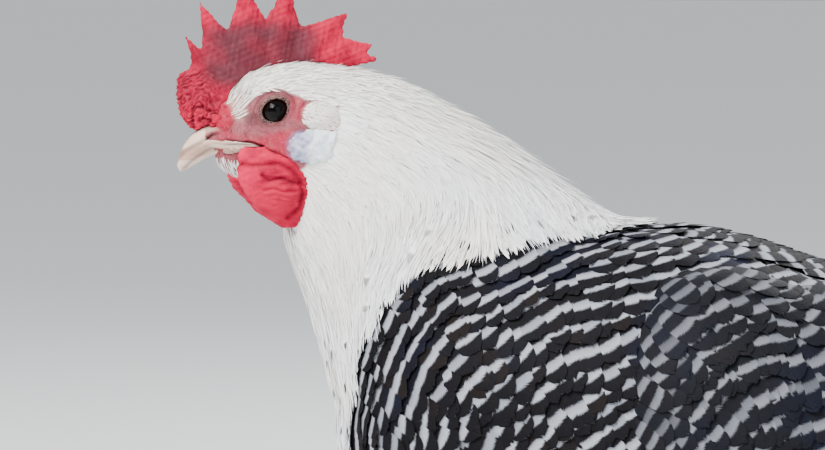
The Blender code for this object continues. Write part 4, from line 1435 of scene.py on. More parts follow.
def make_body_coat(settings):
    bed, wing_bed = kept_bed("bed"), kept_bed("wing_bed")
    period = settings.bar_period / MM

    def wanted(points, side):
        low_thigh = (points[:, 2] < 143) & (np.abs(points[:, 1]) > 16)
        on_wing, outward = wing_bed.settled(points)
        under_wing = (((on_wing - points) * outward).sum(1) > 12) & (points[:, 0] > -30) & (points[:, 0] < 110)
        return ~low_thigh & ~under_wing & (points[:, 1] * side >= 0)

    for name, side in SIDES.items():
        finished(barred_rows(
            f"body_coat_{name}", bed, body_place, body_heading, np.arange(-2.3 * period, 330, period),
            settings.body_step / MM, period, lambda points: wanted(points, side), settings.body_width / MM / 2,
            (-1.7, 0.6), settings.seed + 20, barred_feathers(settings),
        ), "barred_plumage")


def finished(thing, slot, *nodes):
    """Fixes a piece to the part's one body and hides the nodes that it stands for; the finish's slot is not used.
    """
    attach(thing, "root")
    if nodes:
        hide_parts(*nodes)


def make_thigh_coat(settings):
    def down(points):
        return 160.0 - points[:, 2] + 0.25 * points[:, 0] + 0.9 * ripple(points, 18, 12)

    for name, side in SIDES.items():
        finished(barred_rows(
            f"thigh_coat_{name}", kept_bed("leg_bed"), down, thigh_heading, np.arange(-14, 66, THIGH_PERIOD), 4.6,
            THIGH_PERIOD,
            lambda points: (points[:, 2] < 158) & (points[:, 1] * side > 14) & (np.abs(points[:, 0] - 8) < 40)
            & (points[:, 2] > THIGH_END + 1.5 * ripple(points, 9, 24)),
            3.9, (-1.6, 0.8), settings.seed + 40, barred_feathers(settings),
        ), "barred_plumage")


def wing_fold_painted_shade(points):
    """Painted shade, dark and blue-grey, on the feathers by the fold in front of the wing and along its upper
    edge.
    """
    x, z = points[:, 0], points[:, 2]
    fold = np.exp(-(((x + 24 - 0.09 * (z - 255)) / 3.8) ** 2))
    upper = smooth(z - (283 - 0.26 * (x + 20)), -24, -4) * smooth(x, -24, -8) * 0.8
    return np.clip(0.45 + (fold + 0.3 * upper) * (0.3 + 0.3 * ripple(points, 13, 31)), 0, 0.75)


def make_wings(settings):
    """The folded wings: small coverts in rows on the front, then tiers of long feathers."""
    bed, wing_bed, material = kept_bed("bed"), kept_bed("wing_bed"), barred_feathers(settings)
    period = settings.wing_period / MM
    for name, side in SIDES.items():
        feathers = []
        chance = np.random.default_rng(settings.seed + 60)
        for count, top, low, lifts, tilt in WING_TIERS:
            for k in range(count):
                share = k / (count - 1)
                root_x, root_angle, tip_x, tip_angle, half = mixed(np.array(top), np.array(low), share)
                tip_x += 5 * math.sin(math.pi * share) + chance.normal(0, 1.2)
                tip_angle += chance.normal(0, 0.8)
                along = np.linspace(0, 1, 9)
                lift = mixed(lifts[0], lifts[1], along) + 0.25 * (k % 2)
                x, angle = mixed(root_x, tip_x, along), mixed(root_angle, tip_angle, along)
                line, outward = beside(x, angle, lift, side)
                feathers.append((line, outward, half, -side * tilt))
        quills = quill_mesh(f"wing_quills_{name}", feathers, period, material, settings.seed + 61)
        finished(quills, "barred_plumage", f"wing_{name}")

        def wanted(points):
            edge = 56 - 0.2 * (290 - points[:, 2])
            near = (points[:, 1] * side > 15) & (points[:, 0] < edge) & (points[:, 0] > -34)
            on_bed, normals = bed.settled(points)
            raised = ((points - on_bed) * normals).sum(1)
            return near & (raised > 0.5)

        coverts = barred_rows(
            f"wing_coverts_{name}", wing_bed, wing_place, wing_heading, np.arange(-84, 80, period), 5.0, period,
            wanted, 4.1, (-1.9, 0.7), settings.seed + 80, material, wing_fold_painted_shade,
        )
        finished(coverts, "barred_plumage")


def tail_quill(side, share, length, lift, roll, half_width):
    """One feather of the roof-shaped tail: share 0 is the middle pair on the ridge, 1 the outermost."""
    rise, splay = math.radians(57 - 33 * share), math.radians(3.5 + 7.5 * share)
    root = np.array(TAIL_ROOT) + (10 + 6 * share, side * (3.0 + 9 * share), 14 - 22 * share)
    ahead = np.array((math.cos(rise), side * math.tan(splay), math.sin(rise))) * math.cos(splay)
    roof = math.radians(52 - 40 * share)
    over = np.array((-math.sin(rise), 0, math.cos(rise)))
    sideways = np.array((0, side * math.cos(roof), 0)) + math.sin(roof) * over
    place = np.linspace(0, 1, 9)[:, None]
    sag = 7 * place**2 * (0.4 + 0.6 * share)
    line = root + ahead * length * place + sideways * lift - np.array((0, 0, 1)) * sag
    return line, np.repeat(sideways[None], len(line), 0), half_width, side * roll


def make_tail(settings):
    chance = np.random.default_rng(settings.seed + 90)
    feathers = []
    for side in SIDES.values():
        for share in np.linspace(0, 1, 8):
            length = 112 * (1 - 0.12 * share) * chance.uniform(0.98, 1.01)
            feathers.append(tail_quill(side, share, length, 0.4, 0.13, 11.5))
        for row, (count, reach, lift) in enumerate(((6, 68, 2.4), (6, 50, 3.6), (5, 34, 4.6))):
            for share in np.linspace(0.02, 0.95, count):
                length = (reach - 7 * share) * chance.uniform(0.95, 1.05)
                feathers.append(tail_quill(side, share, length, lift + 0.3 * (row % 2), 0.1, 11.0))
    thing = quill_mesh("tail_feathers", feathers, settings.wing_period / MM, barred_feathers(settings),
                       settings.seed + 91)
    finished(thing, "barred_plumage", "tail")


# The head


def grains(points, gap, size, seed, stray=0.25):
    """Heights from 0 to 1 of small round grains that lie about gap apart on a surface."""
    chosen = spread(points, gap, seed)
    middles = points[chosen] + np.random.default_rng(seed).normal(0, stray * gap, (len(chosen), 3))
    tree = point_tree(middles)
    distance = np.array([tree.find(point)[2] for point in points])
    return np.exp(-((distance / size) ** 2))


def flesh_skin(tree, shader, look):
    """Bare skin whose colours follow the attributes tint, dusk, deep, pale and grain. Deep also holds painted
    shade in folds, creases and cracks, and grain also holds painted highlights.
    """
    vector = object_vector(tree)
    fine, broad = noise(tree, vector, 1400.0), noise(tree, vector, 170.0)
    light = maths(tree, "MULTIPLY", attribute(tree, "grain"), ranged(tree, fine, 0.3, 0.7, 0.15, look["speckle"]))
    colour = layered(
        tree, look["plain"], (attribute(tree, "tint"), look["strong"]),
        (ranged(tree, broad, 0.4, 0.75, 0.0, 0.55), look["deep"]), (attribute(tree, "dusk"), look["dusk"]),
        (attribute(tree, "deep"), look["deep"]), (light, look["light"]), (attribute(tree, "pale"), look["pale"]),
    )
    surfaced(tree, shader, colour, look["rough"], 0.12)
    bumped(tree, shader, fine, 0.12, 0.8)


# The upper, middle and lower fold of a wattle, seen from the side, from the eye, each with its width
WATTLE_FOLDS = (
    (((-13, -18.6), (-8, -19.4), (-3, -19.0), (1, -18.7), (4.2, -20.6), (8, -24.5), (9.6, -30), (8.8, -36),
      (5, -40)), 0.95),
    (((-4.4, -22.7), (-2.0, -25.0), (1.9, -24.0), (5.2, -25.4), (8.6, -26.2)), 0.6),
    (((-3, -28.4), (0, -28.0), (3, -29.3), (6.5, -29)), 0.5),
)
# The ear lobe seen from the side: its middle and its half sizes, from the eye
LOBE_AT = (13.5, -12.8)
LOBE_REACH = (8.4, 6.4)
# The deep folds of the comb's front lobe, seen from the side, from the eye
LOBE_FOLDS = (
    ((-28.4, 1.2), (-26.0, 1.3), (-23.7, 0.0), (-20.1, -0.9)),
    ((-29.1, 0.9), (-29.5, -2.4), (-29.1, -6.3)),
    ((-27.0, -3.6), (-25.2, -2.7), (-23.4, -3.6), (-24.0, -6.3)),
)


def flesh(name, node, voxel, rounds, *more):
    """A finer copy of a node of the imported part, with more shapes fused to it, rounded off."""
    shapes = [(from_eye(points), faces) for points, faces in (node_shape(node, 0.12), *more)]
    thing = fused(name, shapes, voxel)
    evened(thing, rounds)
    move_to(thing, swung(places(thing) + EYE))
    return thing


def paint(thing, **values):
    for key in ("tint", "dusk", "deep", "pale", "grain"):
        point_attribute(thing, key, np.broadcast_to(values.get(key, 0.0), (len(thing.data.vertices),)))


def make_comb(settings):
    """The comb: finely grained, folded on its front lobe and dusky along its middle, with painted shade in its
    folds and creases and painted highlights on the tops of its folds and grains.
    """
    roots = [blob((-19.9, side * 2.6, -2.4), (4.4, 4.0, 5.4)) for side in SIDES.values()]
    thing = flesh("comb_surface", "comb", 0.45, 8, *roots)
    points, normals = places(thing), vertex_normals(thing)
    x, z = seen_from_side(points)
    bumps = grains(points, settings.grain / MM, 0.36, 5)
    lobe = smooth(-x - 0.3 * z, 13, 21) * smooth(20 - z, 0, 8)
    from_fold = np.hypot(x + 26.5, 0.85 * (z - 0.5)) + 2.6 * ripple(points, 10, 14) + 0.7 * ripple(points, 3.4, 13)
    wave = np.sin(from_fold * math.pi / 1.9)
    folds = (1 - 2 * np.abs(wave) ** 1.4) * lobe * np.clip(0.75 + 0.4 * ripple(points, 4, 12), 0, 1.2)
    upright = np.sin((x + 0.25 * z) * 2 * math.pi / 3.4 + 2.2 * ripple(points, 11, 17)) * (1 - lobe)
    wrinkle = ripple(points, 2.4, 15)
    deep = np.maximum.reduce([crease(x, z, line, 0.55) for line in LOBE_FOLDS])
    bare_patch = oval(x, z, (-18.9, -3.3), 2.6, 3.0)
    folds, bumps = folds * (1 - 0.8 * bare_patch), bumps * (1 - 0.5 * bare_patch)
    height = 0.2 * bumps + 0.36 * folds + 0.06 * upright + 0.15 * wrinkle + 0.18 * ripple(points, 6, 19)
    move_to(thing, points + normals * (height - 0.15 - 0.8 * deep)[:, None])
    band = smooth(z + 0.2 * x, 2, 9) * smooth(37 - z - 0.1 * np.abs(x + 4), 0, 9) * smooth(x, -29, -20)
    band *= smooth(20 - x, 0, 8) * np.clip(0.95 + 0.18 * ripple(points, 12, 16), 0, 1)
    dark = oval(x, z, (-7, 19.5), 5.5, 6) + oval(x, z, (4, 25), 4.0, 6) + oval(x, z, (7, 17), 3.0, 5)
    red = np.clip(0.35 + lobe * smooth(4 - z, 0, 8) + smooth(z, 25, 36) + smooth(x, 12, 22), 0, 1)
    # Painted highlights on the tops of the folds and on the grains, and painted shade in the fold valleys and the
    # deep creases, with dark blotches in the dusky band
    crest_highlight = np.clip(0.8 * folds, 0, 1) * lobe + 0.35 * bumps + 0.3 * smooth(wrinkle, 0.5, 1.2)
    deep = np.clip(0.8 * smooth(-folds, 0.1, 0.9) + deep + 0.28 * np.clip(dark, 0, 1) * band, 0, 0.95)
    paint(thing, tint=red, dusk=0.95 * band, grain=np.clip(crest_highlight, 0, 1) * (1 - 0.5 * band), deep=deep)
    thing.data.materials.append(material_of("comb_skin", flesh_skin, COMB_LOOK | {"strong": settings.comb_red}))
    finished(thing, "red_skin", "comb")


def make_wattles(settings):
    """The wattles with their folds, and the ear lobes."""
    wattle_look = WATTLE_LOOK | {"plain": settings.wattle_red}
    lobe_look = LOBE_LOOK | {"plain": settings.lobe_white}
    for name, side in SIDES.items():
        thing = flesh(f"wattle_surface_{name}", f"wattle_{name}", 0.45, 9)
        points, normals = places(thing), vertex_normals(thing)
        x, z = seen_from_side(points)
        bumps = grains(points, 0.7, 0.3, 6)
        upper, fold, under = (crease(x, z, line, width) for line, width in WATTLE_FOLDS)
        small = np.sin(z * 2 * math.pi / 2.0 + 2.2 * ripple(points, 8, 18))
        small = small * smooth(x, -6, 1) * smooth(z, -37, -29) * smooth(-20 - z, 0, 4)
        height = 0.15 * bumps - 1.1 * upper - 1.0 * fold - 0.6 * under + 0.22 * small
        height = height + 0.16 * ripple(points, 3, 19) + 0.35 * ripple(points, 12, 22)
        points = points + normals * height[:, None]
        eye = from_eye(points)
        eye[:, 0] += 1.4 * smooth(eye[:, 0], -4, 9) - 3.6 * (side > 0) * smooth(-eye[:, 2], 17, 21)
        eye[:, 2] += 1.3 * smooth(-eye[:, 2], 24, 44)
        move_to(thing, swung(eye + EYE))
        # Painted shade in the folds, and painted highlights on the grains and towards the front; the red deepens
        # towards the rear
        depth = np.clip(np.maximum(0.75 * upper, fold), 0, 1)
        light = 0.4 * bumps + 0.35 * smooth(-x, -4, 12)
        paint(thing, tint=smooth(x - 0.15 * z, -6, 14), deep=0.8 * depth, grain=light)
        thing.data.materials.append(material_of("wattle_skin", flesh_skin, wattle_look))
        finished(thing, "red_skin", f"wattle_{name}")
        lobe = flesh(f"earlobe_surface_{name}", f"earlobe_{name}", 0.45, 7)
        points, normals = places(lobe), vertex_normals(lobe)
        eye = from_eye(points)
        bumps = grains(points, 1.3, 0.6, 7)
        crack = ripple(points, 2.2, 20)
        points = points + normals * (0.2 * bumps + 0.24 * crack + 0.3 * ripple(points, 4.5, 23))[:, None]
        eye = from_eye(points)
        a, b = (eye[:, 0] - LOBE_AT[0]) / LOBE_REACH[0], (eye[:, 2] - LOBE_AT[1]) / LOBE_REACH[1]
        round_one = np.hypot(a, b)
        square = round_one / np.maximum((np.abs(a) ** 7 + np.abs(b) ** 7) ** (1 / 7), 1e-6)
        square = 1 + (square - 1) * smooth(a, -0.4, 0.4)
        square *= 1 + 0.24 * np.exp(-(((np.arctan2(b, a) + 0.75) / 0.42) ** 2))
        eye[:, 0] = LOBE_AT[0] + a * LOBE_REACH[0] * square + 1.6 * smooth(a, 0, 1)
        eye[:, 2] = LOBE_AT[1] + b * LOBE_REACH[1] * square
        move_to(lobe, swung(eye + EYE))
        lilac = smooth(12.6 - eye[:, 0] + 1.0 * ripple(points, 4, 21), -1.0, 2)
        rim = smooth(round_one / square, 0.9, 1.02) * smooth(a - b, -0.2, 0.5)
        # Painted shade, blue-grey, in the cracks between the crumples
        crack = smooth(-crack, 0.3, 1.2)
        paint(lobe, tint=lilac * (0.8 + 0.2 * ripple(points, 2.5, 24)), grain=bumps * (1 - 0.6 * lilac),
              dusk=0.6 * rim, deep=0.5 * crack, pale=0.5 * smooth(7 - eye[:, 0], 0, 3))
        lobe.data.materials.append(material_of("lobe_skin", flesh_skin, lobe_look))
        finished(lobe, "white_lobe", f"earlobe_{name}")


def make_eyes():
    """The eyes under a clear wet surface, each in a rim of small dark beads."""
    for name, side in SIDES.items():
        rings = []
        centre = LIDS_AT * 0.6 + (0, side * 10.7, 0)
        for latitude in np.linspace(-0.5, 0.5, 34)[1:-1] * math.pi:
            reach = 6.2 * math.cos(latitude)
            out = 6.2 * math.sin(latitude) + 0.7 * smooth(math.sin(latitude), 0.80, 1.0)
            rings.append(ring_points(centre + (0, side * out, 0), (reach, 0, 0), (0, 0, reach), 40, 2))
        points, faces = lofted(rings)
        eye = new_object(f"eyeball_{name}", swung(points + EYE), faces)
        from_middle = np.hypot(points[:, 0], points[:, 2] - 0.3)
        point_attribute(eye, "from_middle", from_middle)
        eye.data.materials.append(material_of("eye_surface", wet_eye))
        finished(eye, "eye", f"eye_{name}")
        around, tube = 240, 22
        points = []
        tilt = math.radians(28)
        for i in range(around):
            turn = 2 * math.pi * i / around
            low = max(0.0, -math.sin(turn))
            reach = np.array((5.3 * math.cos(turn), 0, 4.35 * math.sin(turn)))
            reach = np.array((reach[0] * math.cos(tilt) - reach[2] * math.sin(tilt), 0,
                              reach[0] * math.sin(tilt) + reach[2] * math.cos(tilt)))
            outward = unit(reach)
            middle = reach + LIDS_AT + (0, side * (15.35 + 0.5 * math.sin(turn)), 0)
            for j in range(tube):
                roll = 2 * math.pi * j / tube
                wide = 0.5 if math.cos(roll) < 0 else 0.75 + 0.3 * low
                aside = np.array((0, side, 0)) * math.sin(roll) * 0.5
                points.append(middle + outward * math.cos(roll) * wide + aside)
        faces = []
        for i in range(around):
            for j in range(tube):
                a, b, c = i * tube, (i + 1) % around * tube, (j + 1) % tube
                faces.append((a + j, a + c, b + c, b + j))
        points = np.array(points)
        lids = new_object(f"lids_{name}", swung(points + EYE), faces)
        bumps = grains(points, 0.55, 0.24, 50, 0.0)
        move_to(lids, places(lids) + vertex_normals(lids) * (0.22 * bumps - 0.05)[:, None])
        dark = np.clip(0.95 - 0.9 * bumps + 0.3 * ripple(points, 2, 51), 0, 0.95)
        paint(lids, dusk=dark, grain=bumps, tint=0.1)
        lids.data.materials.append(material_of("face_skin", flesh_skin, LID_LOOK))
        finished(lids, "pink_face")


def wet_eye(tree, shader):
    away = attribute(tree, "from_middle")
    streak = noise(tree, object_vector(tree), 700.0, 3.0)
    iris = layered(tree, EYE_LOOK["deep"], (streak, EYE_LOOK["iris"]))
    colour = layered(tree, EYE_LOOK["pupil"], (ranged(tree, away, 2.6, 3.4), iris),
                     (ranged(tree, away, 3.9, 4.8), EYE_LOOK["rim"]))
    surfaced(tree, shader, colour, 0.05, 0.11)


def horn(tree, shader, look):
    stretch = tree.nodes.new("ShaderNodeMapping")
    names = ("Vector", "Rotation", "Scale")
    fed(tree, [stretch.inputs[name] for name in names],
        (object_vector(tree), (0, math.radians(-28), 0), (60, 200, 330)))
    streak = noise(tree, stretch.outputs[0], 1.0, 3.0)
    colour = layered(tree, look["deep"], (ranged(tree, streak, 0.35, 0.65), look["plain"]),
                     (attribute(tree, "dusk"), look["dusk"]))
    surfaced(tree, shader, colour, 0.34)
    bumped(tree, shader, streak, 0.12, 0.7)


def horn_finished(thing, dusk, settings, *nodes):
    """Gives a piece the horn of bill and claws, darkened by dusk."""
    point_attribute(thing, "dusk", np.broadcast_to(dusk, (len(thing.data.vertices),)))
    thing.data.materials.append(material_of("horn_surface", horn, HORN_LOOK | {"plain": settings.horn}))
    finished(thing, "horn", *nodes)


# Low ridges along the bill, seen from the side, from the eye: x, z and half width
BILL_EDGE = ((-26.5, -15.2, 0.9), (-22, -14.0, 1.6), (-18, -13.2, 1.3), (-12.7, -12.6, 0.85), (-9, -12.4, 0.65),
             (-5.8, -12.6, 0.1))
LOWER_EDGE = ((-22.5, -17.4, 0.5), (-20, -16.6, 1.2), (-16, -15.3, 1.2), (-12, -14.2, 0.8), (-9, -13.6, 0.1))
NOSE_SKIN = ((-26.2, -9.8, 0.3), (-24.8, -9.2, 1.7), (-22.6, -8.6, 2.9), (-20, -8.5, 3.5), (-17, -8.9, 3.5),
             (-14, -9.7, 2.5), (-11, -10.5, 0.3))


def hugging(bed, path, side, thick, lift=0.35, rows=30, sides=20):
    """A low closed ridge that follows a bed along a path, lifted off it a little."""
    path = catmull(path, np.linspace(0, len(path) - 1, rows))
    at, normals = bed.settled(swung(np.stack([path[:, 0], np.full(rows, side * 14.0), path[:, 1]], 1) + EYE))
    ups = unit(np.cross(normals, unit(np.gradient(at, axis=0))))
    angle = np.linspace(0, 2 * math.pi, sides, endpoint=False)
    across = ups[:, None] * (path[:, 2, None] * np.cos(angle))[..., None]
    on, out = bed.settled(at[:, None] + across)
    return lofted(list(on + out * (lift + thick * np.sin(angle))[None, :, None]))


def make_bill(settings):
    """The bill, nearly closed, with its pale edge running back under the cheek."""
    for part in ("upper", "lower"):
        thing = flesh(f"bill_{part}", f"beak_{part}", 0.4, 3)
        eye = from_eye(places(thing))
        x, z = eye[:, 0].copy(), eye[:, 2].copy()
        if part == "upper":
            eye[:, 0] = np.where(x < -22, -22 + (x + 22) * 0.86, x)
        else:
            eye[:, 0] = np.where(x < -14, -14 + (x + 14) * 0.64, x)
            eye[:, 2] += 5.2 * smooth(-x, 12, 27)
        points = swung(eye + EYE)
        move_to(thing, points)
        arc = np.hypot(eye[:, 0] + 18, eye[:, 2] + 30) * 1.6 + 0.5 * ripple(points, 9, 22)
        stripe = 0.5 * smooth(np.sin(arc), 0.0, 1.0) * (part == "upper")
        ridge = 0.35 * smooth(1.8 - np.abs(eye[:, 1]), 0, 1.4) * smooth(z, -16, -10)
        horn_finished(thing, np.clip(stripe + ridge, 0, 0.92), settings, f"beak_{part}")
    upper, body = bpy.data.objects["bill_upper"], kept_bed("bed")
    front = fused("front", [(places(upper), face_corners(upper)), (body.points, body.faces)], 0.8)
    evened(front, 6)
    bed = Bed(front)
    bpy.data.objects.remove(front)
    eye = from_eye(places(upper))
    eye[:, 1] *= 1 - 0.25 * smooth(eye[:, 0], -25.5, -23) * smooth(eye[:, 2], -12.8, -11.4)
    move_to(upper, swung(eye + EYE))
    for name, side in SIDES.items():
        jaw = new_object(f"bill_edge_low_{name}", *hugging(bed, LOWER_EDGE, side, 0.4))
        horn_finished(jaw, 0.3 + 0.25 * ripple(places(jaw), 1.5, 29), settings)
        edge = new_object(f"bill_edge_{name}", *hugging(bed, BILL_EDGE, side, 0.4))
        x, z = seen_from_side(places(edge))
        # Painted shade along the line where the pale edge meets the cheek
        seam_shade = crease(x, z, ((-22, -12.6), (-18, -12.0), (-12, -11.7), (-8, -11.8), (-5.8, -12.6)), 0.4)
        horn_finished(edge, np.clip(0.15 + 0.8 * seam_shade * smooth(x, -22, -16), 0, 0.9), settings)
        cere = new_object(f"nose_skin_{name}", *hugging(bed, NOSE_SKIN, side, 0.62, 0.0, 56, 40))
        points, normals = places(cere), vertex_normals(cere)
        x, z = seen_from_side(points)
        raised = 0.8 * oval(x, z, (-22.6, -6.8), 2.7, 0.9, 0.55) - 0.5 * crease(x, z, NOSTRIL, 0.5)
        raised += 0.12 * ripple(points, 2.0, 27) + 0.1 * grains(points, 0.7, 0.3, 28)
        move_to(cere, points + normals * raised[:, None])
        face_painted(cere, points, np.ones(len(points)))
        finished(cere, "pink_face")


# Legs and feet


def scaly(tree, shader, look):
    """Small scales, with broad ones where the attributes scute and groove tell."""
    vector = object_vector(tree)
    cells = tree.nodes.new("ShaderNodeTexVoronoi")
    cells.feature = "DISTANCE_TO_EDGE"
    fed(tree, [cells.inputs[name] for name in ("Vector", "Scale")], (vector, 520.0))
    edge = ranged(tree, cells.outputs["Distance"], 0.0, 0.16)
    edge = layered(tree, edge, (attribute(tree, "scute"), (1.0, 1.0, 1.0)))
    cloud = noise(tree, vector, 90.0, 3.0)
    colour = layered(tree, look["deep"], (ranged(tree, cloud, 0.35, 0.65), look["plain"]))
    # The groove colour is painted shade in the grooves between the broad scales
    colour = layered(tree, look["edge"], (edge, colour), (attribute(tree, "groove"), look["groove"]))
    surfaced(tree, shader, colour, 0.42)
    bumped(tree, shader, edge, 0.25, 0.8)


def scaled(thing, nodes):
    """Raises broad scales on the front of the shank and on the top of the toes."""
    points, normals = places(thing), vertex_normals(thing)
    best = np.full(len(points), 1e9)
    along, turn, side_way = np.zeros((3, len(points)))
    for node in nodes:
        is_shank = node.startswith("shank")
        shape = node_shape(node)[0]
        middle = shape.mean(0)
        axis = np.linalg.svd(shape - middle, full_matrices=False)[2][0]
        axis *= -1 if is_shank and axis[2] >= 0 else 1
        out = np.array((-1.0, 0, 0)) if is_shank else np.array((0, 0, 1.0))
        out = unit(out - axis * (out @ axis))
        at = (points - middle) @ axis
        aside = points - middle - at[:, None] * axis
        reach = (shape - middle) @ axis
        beyond = np.maximum(np.maximum(reach.min() - at, at - reach.max()), 0)
        far = np.hypot(np.linalg.norm(aside, axis=1), 3 * beyond)
        if is_shank:
            far += 3.0 * smooth(30 - points[:, 2], 0, 14)
        chosen = far < best
        best = np.where(chosen, far, best)
        along = np.where(chosen, at / (4.4 if is_shank else 3.3), along)
        turn = np.where(chosen, normals @ out, turn)
        side_way = np.where(chosen, (normals @ np.cross(axis, out)) * is_shank, side_way)
    along = along + 0.5 * (side_way > 0) + 0.10 * ripple(points, 9, 52)
    part = along % 1.0
    front = smooth(turn, 0.05, 0.4)
    step = np.minimum(smooth(part, 0.0, 0.75), smooth(1 - part, 0, 0.14))
    # Painted shade in the grooves between the broad scales and along the shank's middle line
    groove = (1 - smooth(np.minimum(part, 1 - part), 0.0, 0.11)) * front
    middle_line = np.exp(-((side_way / 0.10) ** 2)) * (side_way != 0) * front
    pads = 0.18 * ripple(points, 3.0, 53) * (1 - front)
    height = 0.42 * step * front * (1 - middle_line) + pads
    move_to(thing, points + normals * height[:, None])
    point_attribute(thing, "scute", front)
    point_attribute(thing, "groove", np.clip(np.maximum(groove, 0.8 * middle_line), 0, 1))


def fused_nodes(name, nodes, voxel, rounds):
    thing = fused(name, [node_shape(node, 0.1) for node in nodes], voxel)
    evened(thing, rounds)
    return thing


def make_legs(settings):
    """The scaled legs with their toes, and the claws."""
    for name in SIDES:
        nodes = [f"shank_{name}", *(f"toe_{name}_{toe}" for toe in TOES)]
        leg = fused_nodes(f"leg_{name}", nodes, 0.6, 3)
        scaled(leg, nodes)
        leg.data.materials.append(material_of("leg_scales", scaly, LEG_LOOK | {"plain": settings.leg}))
        finished(leg, "slate_leg", *nodes)
        nodes = [f"claw_{name}_{toe}" for toe in TOES]
        horn_finished(fused_nodes(f"claws_{name}", nodes, 0.4, 2), 0.55, settings, *nodes)


# The operators and their panel


class HenOperator:
    bl_options = {"REGISTER", "UNDO"}


class HEN_OT_skin(HenOperator, bpy.types.Operator):
    """Make the skin of the head, neck, body and thighs"""

    bl_idname = "hen.skin"
    bl_label = "Skin"

    def execute(self, context):
        make_skin()
        return {"FINISHED"}


class HEN_OT_neck_coat(HenOperator, bpy.types.Operator):
    """Lay the white feathers of the head and neck"""

    bl_idname = "hen.neck_coat"
    bl_label = "Neck feathers"

    def execute(self, context):
        make_neck_coat(context.scene.hen_plumage)
        return {"FINISHED"}


class HEN_OT_body_coat(HenOperator, bpy.types.Operator):
    """Lay the barred feathers of the body"""

    bl_idname = "hen.body_coat"
    bl_label = "Body feathers"

    def execute(self, context):
        make_body_coat(context.scene.hen_plumage)
        return {"FINISHED"}


class HEN_OT_thigh_coat(HenOperator, bpy.types.Operator):
    """Lay the barred feathers of the thighs"""

    bl_idname = "hen.thigh_coat"
    bl_label = "Thigh feathers"

    def execute(self, context):
        make_thigh_coat(context.scene.hen_plumage)
        return {"FINISHED"}


class HEN_OT_wings(HenOperator, bpy.types.Operator):
    """Lay the coverts and quills of the folded wings"""

    bl_idname = "hen.wings"
    bl_label = "Wings"

    def execute(self, context):
        make_wings(context.scene.hen_plumage)
        return {"FINISHED"}


class HEN_OT_tail(HenOperator, bpy.types.Operator):
    """Set the quills and coverts of the tail"""

    bl_idname = "hen.tail"
    bl_label = "Tail"

    def execute(self, context):
        make_tail(context.scene.hen_plumage)
        return {"FINISHED"}


class HEN_OT_comb(HenOperator, bpy.types.Operator):
    """Make the comb, the wattles and the ear lobes"""

    bl_idname = "hen.comb"
    bl_label = "Comb and wattles"

    def execute(self, context):
        make_comb(context.scene.hen_skin)
        make_wattles(context.scene.hen_skin)
        return {"FINISHED"}


class HEN_OT_face_feathers(HenOperator, bpy.types.Operator):
    """Set the bristles, brows and ear tufts of the face"""

    bl_idname = "hen.face_feathers"
    bl_label = "Face feathers"

    def execute(self, context):
        make_face_feathers(context.scene.hen_plumage)
        return {"FINISHED"}


class HEN_OT_eyes(HenOperator, bpy.types.Operator):
    """Make the eyes and their lids"""

    bl_idname = "hen.eyes"
    bl_label = "Eyes"

    def execute(self, context):
        make_eyes()
        return {"FINISHED"}


class HEN_OT_bill(HenOperator, bpy.types.Operator):
    """Make the upper and lower bill"""

    bl_idname = "hen.bill"
    bl_label = "Bill"

    def execute(self, context):
        make_bill(context.scene.hen_skin)
        return {"FINISHED"}


class HEN_OT_legs(HenOperator, bpy.types.Operator):
    """Make the scaled legs, the toes and the claws"""

    bl_idname = "hen.legs"
    bl_label = "Legs"

    def execute(self, context):
        make_legs(context.scene.hen_skin)
        return {"FINISHED"}


class HEN_OT_stage(HenOperator, bpy.types.Operator):
    """Set the floor, the lights and the camera"""

    bl_idname = "hen.stage"
    bl_label = "Stage"

    def execute(self, context):
        make_stage(context.scene.hen_stage)
        return {"FINISHED"}


# The camera's aim: the eye's middle, and how far right of it and below it the picture's middle lies
EYE_AT = Vector((-0.16685, -0.015, 0.338))
AIM_ASIDE = Vector((0.0520, -0.0421, 0))
# Lamps: name, place, size and power
LAMPS = (
    ("key", (-0.8, -1.3, 1.9), 1.4, 108),
    ("spot", (-0.5, -1.5, 1.5), 0.2, 12),
    ("fill", (1.3, -1.5, 0.8), 1.6, 14),
    ("back", (0.5, 1.8, 1.5), 1.2, 42),
)


def matt(tree, shader, colour):
    surfaced(tree, shader, (*colour, 1), 0.9)


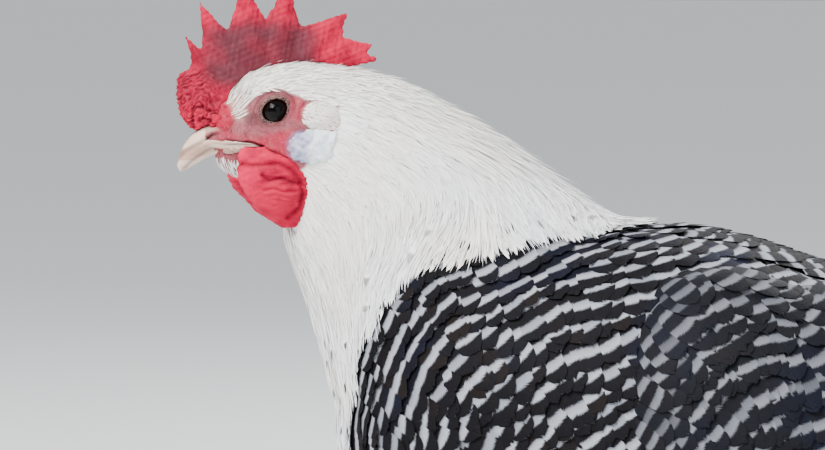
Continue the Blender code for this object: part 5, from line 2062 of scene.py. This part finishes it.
def make_stage(settings):
    scene = bpy.context.scene
    corners = [(-FLOOR, -FLOOR, 0), (FLOOR, -FLOOR, 0), (FLOOR, FLOOR, 0), (-FLOOR, FLOOR, 0)]
    floor = new_object("floor", corners, [(0, 1, 2, 3)])
    floor.data.materials.append(material_of("floor", matt, settings.floor))
    scene.world = bpy.data.worlds.new("studio")
    scene.world.use_nodes = True
    tree = scene.world.node_tree
    height = tree.nodes.new("ShaderNodeSeparateXYZ")
    tree.links.new(tree.nodes.new("ShaderNodeTexCoord").outputs["Generated"], height.inputs[0])
    sky = layered(tree, (0.52, 0.53, 0.53), (ranged(tree, height.outputs[2], 0.0, 0.7), (0.84, 0.87, 0.92)))
    fed(tree, tree.nodes["Background"].inputs, (sky, 0.9))
    for name, at, size, power in LAMPS:
        lamp = linked(name, bpy.data.lights.new(name, "AREA"))
        lamp.data.size = size
        lamp.data.energy = power
        lamp.location = at
        lamp.rotation_euler = (Vector(at) - Vector((0, 0, 0.25))).to_track_quat("Z", "Y").to_euler()
    camera = linked("camera", bpy.data.cameras.new("camera"))
    scene.camera = camera
    a, e = settings.azimuth, settings.elevation
    back = Vector((math.sin(a) * math.cos(e), -math.cos(a) * math.cos(e), math.sin(e)))
    turn = back.to_track_quat("Z", "Y")
    camera.rotation_euler = turn.to_euler()
    camera.data.sensor_width = 36
    camera.data.lens = settings.lens
    camera.data.clip_end = 50
    camera.location = EYE_AT + turn @ AIM_ASIDE + back * settings.distance


OPERATORS = (
    HEN_OT_skin, HEN_OT_neck_coat, HEN_OT_body_coat, HEN_OT_thigh_coat, HEN_OT_wings, HEN_OT_tail,
    HEN_OT_face_feathers, HEN_OT_comb, HEN_OT_eyes, HEN_OT_bill, HEN_OT_legs, HEN_OT_stage,
)


class HEN_PT_panel(bpy.types.Panel):
    bl_label = "Hen"
    bl_idname = "HEN_PT_panel"
    bl_space_type = "VIEW_3D"
    bl_region_type = "UI"
    bl_category = "Hen"

    def draw(self, context):
        for group in (context.scene.hen_plumage, context.scene.hen_skin, context.scene.hen_stage):
            for name in group.__annotations__:
                self.layout.prop(group, name)
        for operator in OPERATORS:
            self.layout.operator(operator.bl_idname)


CLASSES = (HenPlumage, HenSkin, HenStage, *OPERATORS, HEN_PT_panel)


def register():
    for each in CLASSES:
        bpy.utils.register_class(each)
    bpy.types.Scene.hen_plumage = bpy.props.PointerProperty(type=HenPlumage)
    bpy.types.Scene.hen_skin = bpy.props.PointerProperty(type=HenSkin)
    bpy.types.Scene.hen_stage = bpy.props.PointerProperty(type=HenStage)


def unregister():
    for name in ("hen_plumage", "hen_skin", "hen_stage"):
        delattr(bpy.types.Scene, name)
    for each in reversed(CLASSES):
        bpy.utils.unregister_class(each)


def main():
    register()
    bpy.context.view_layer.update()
    for operator in OPERATORS:
        getattr(bpy.ops.hen, operator.bl_idname.partition(".")[2])()


if __name__ == "__main__":
    main()
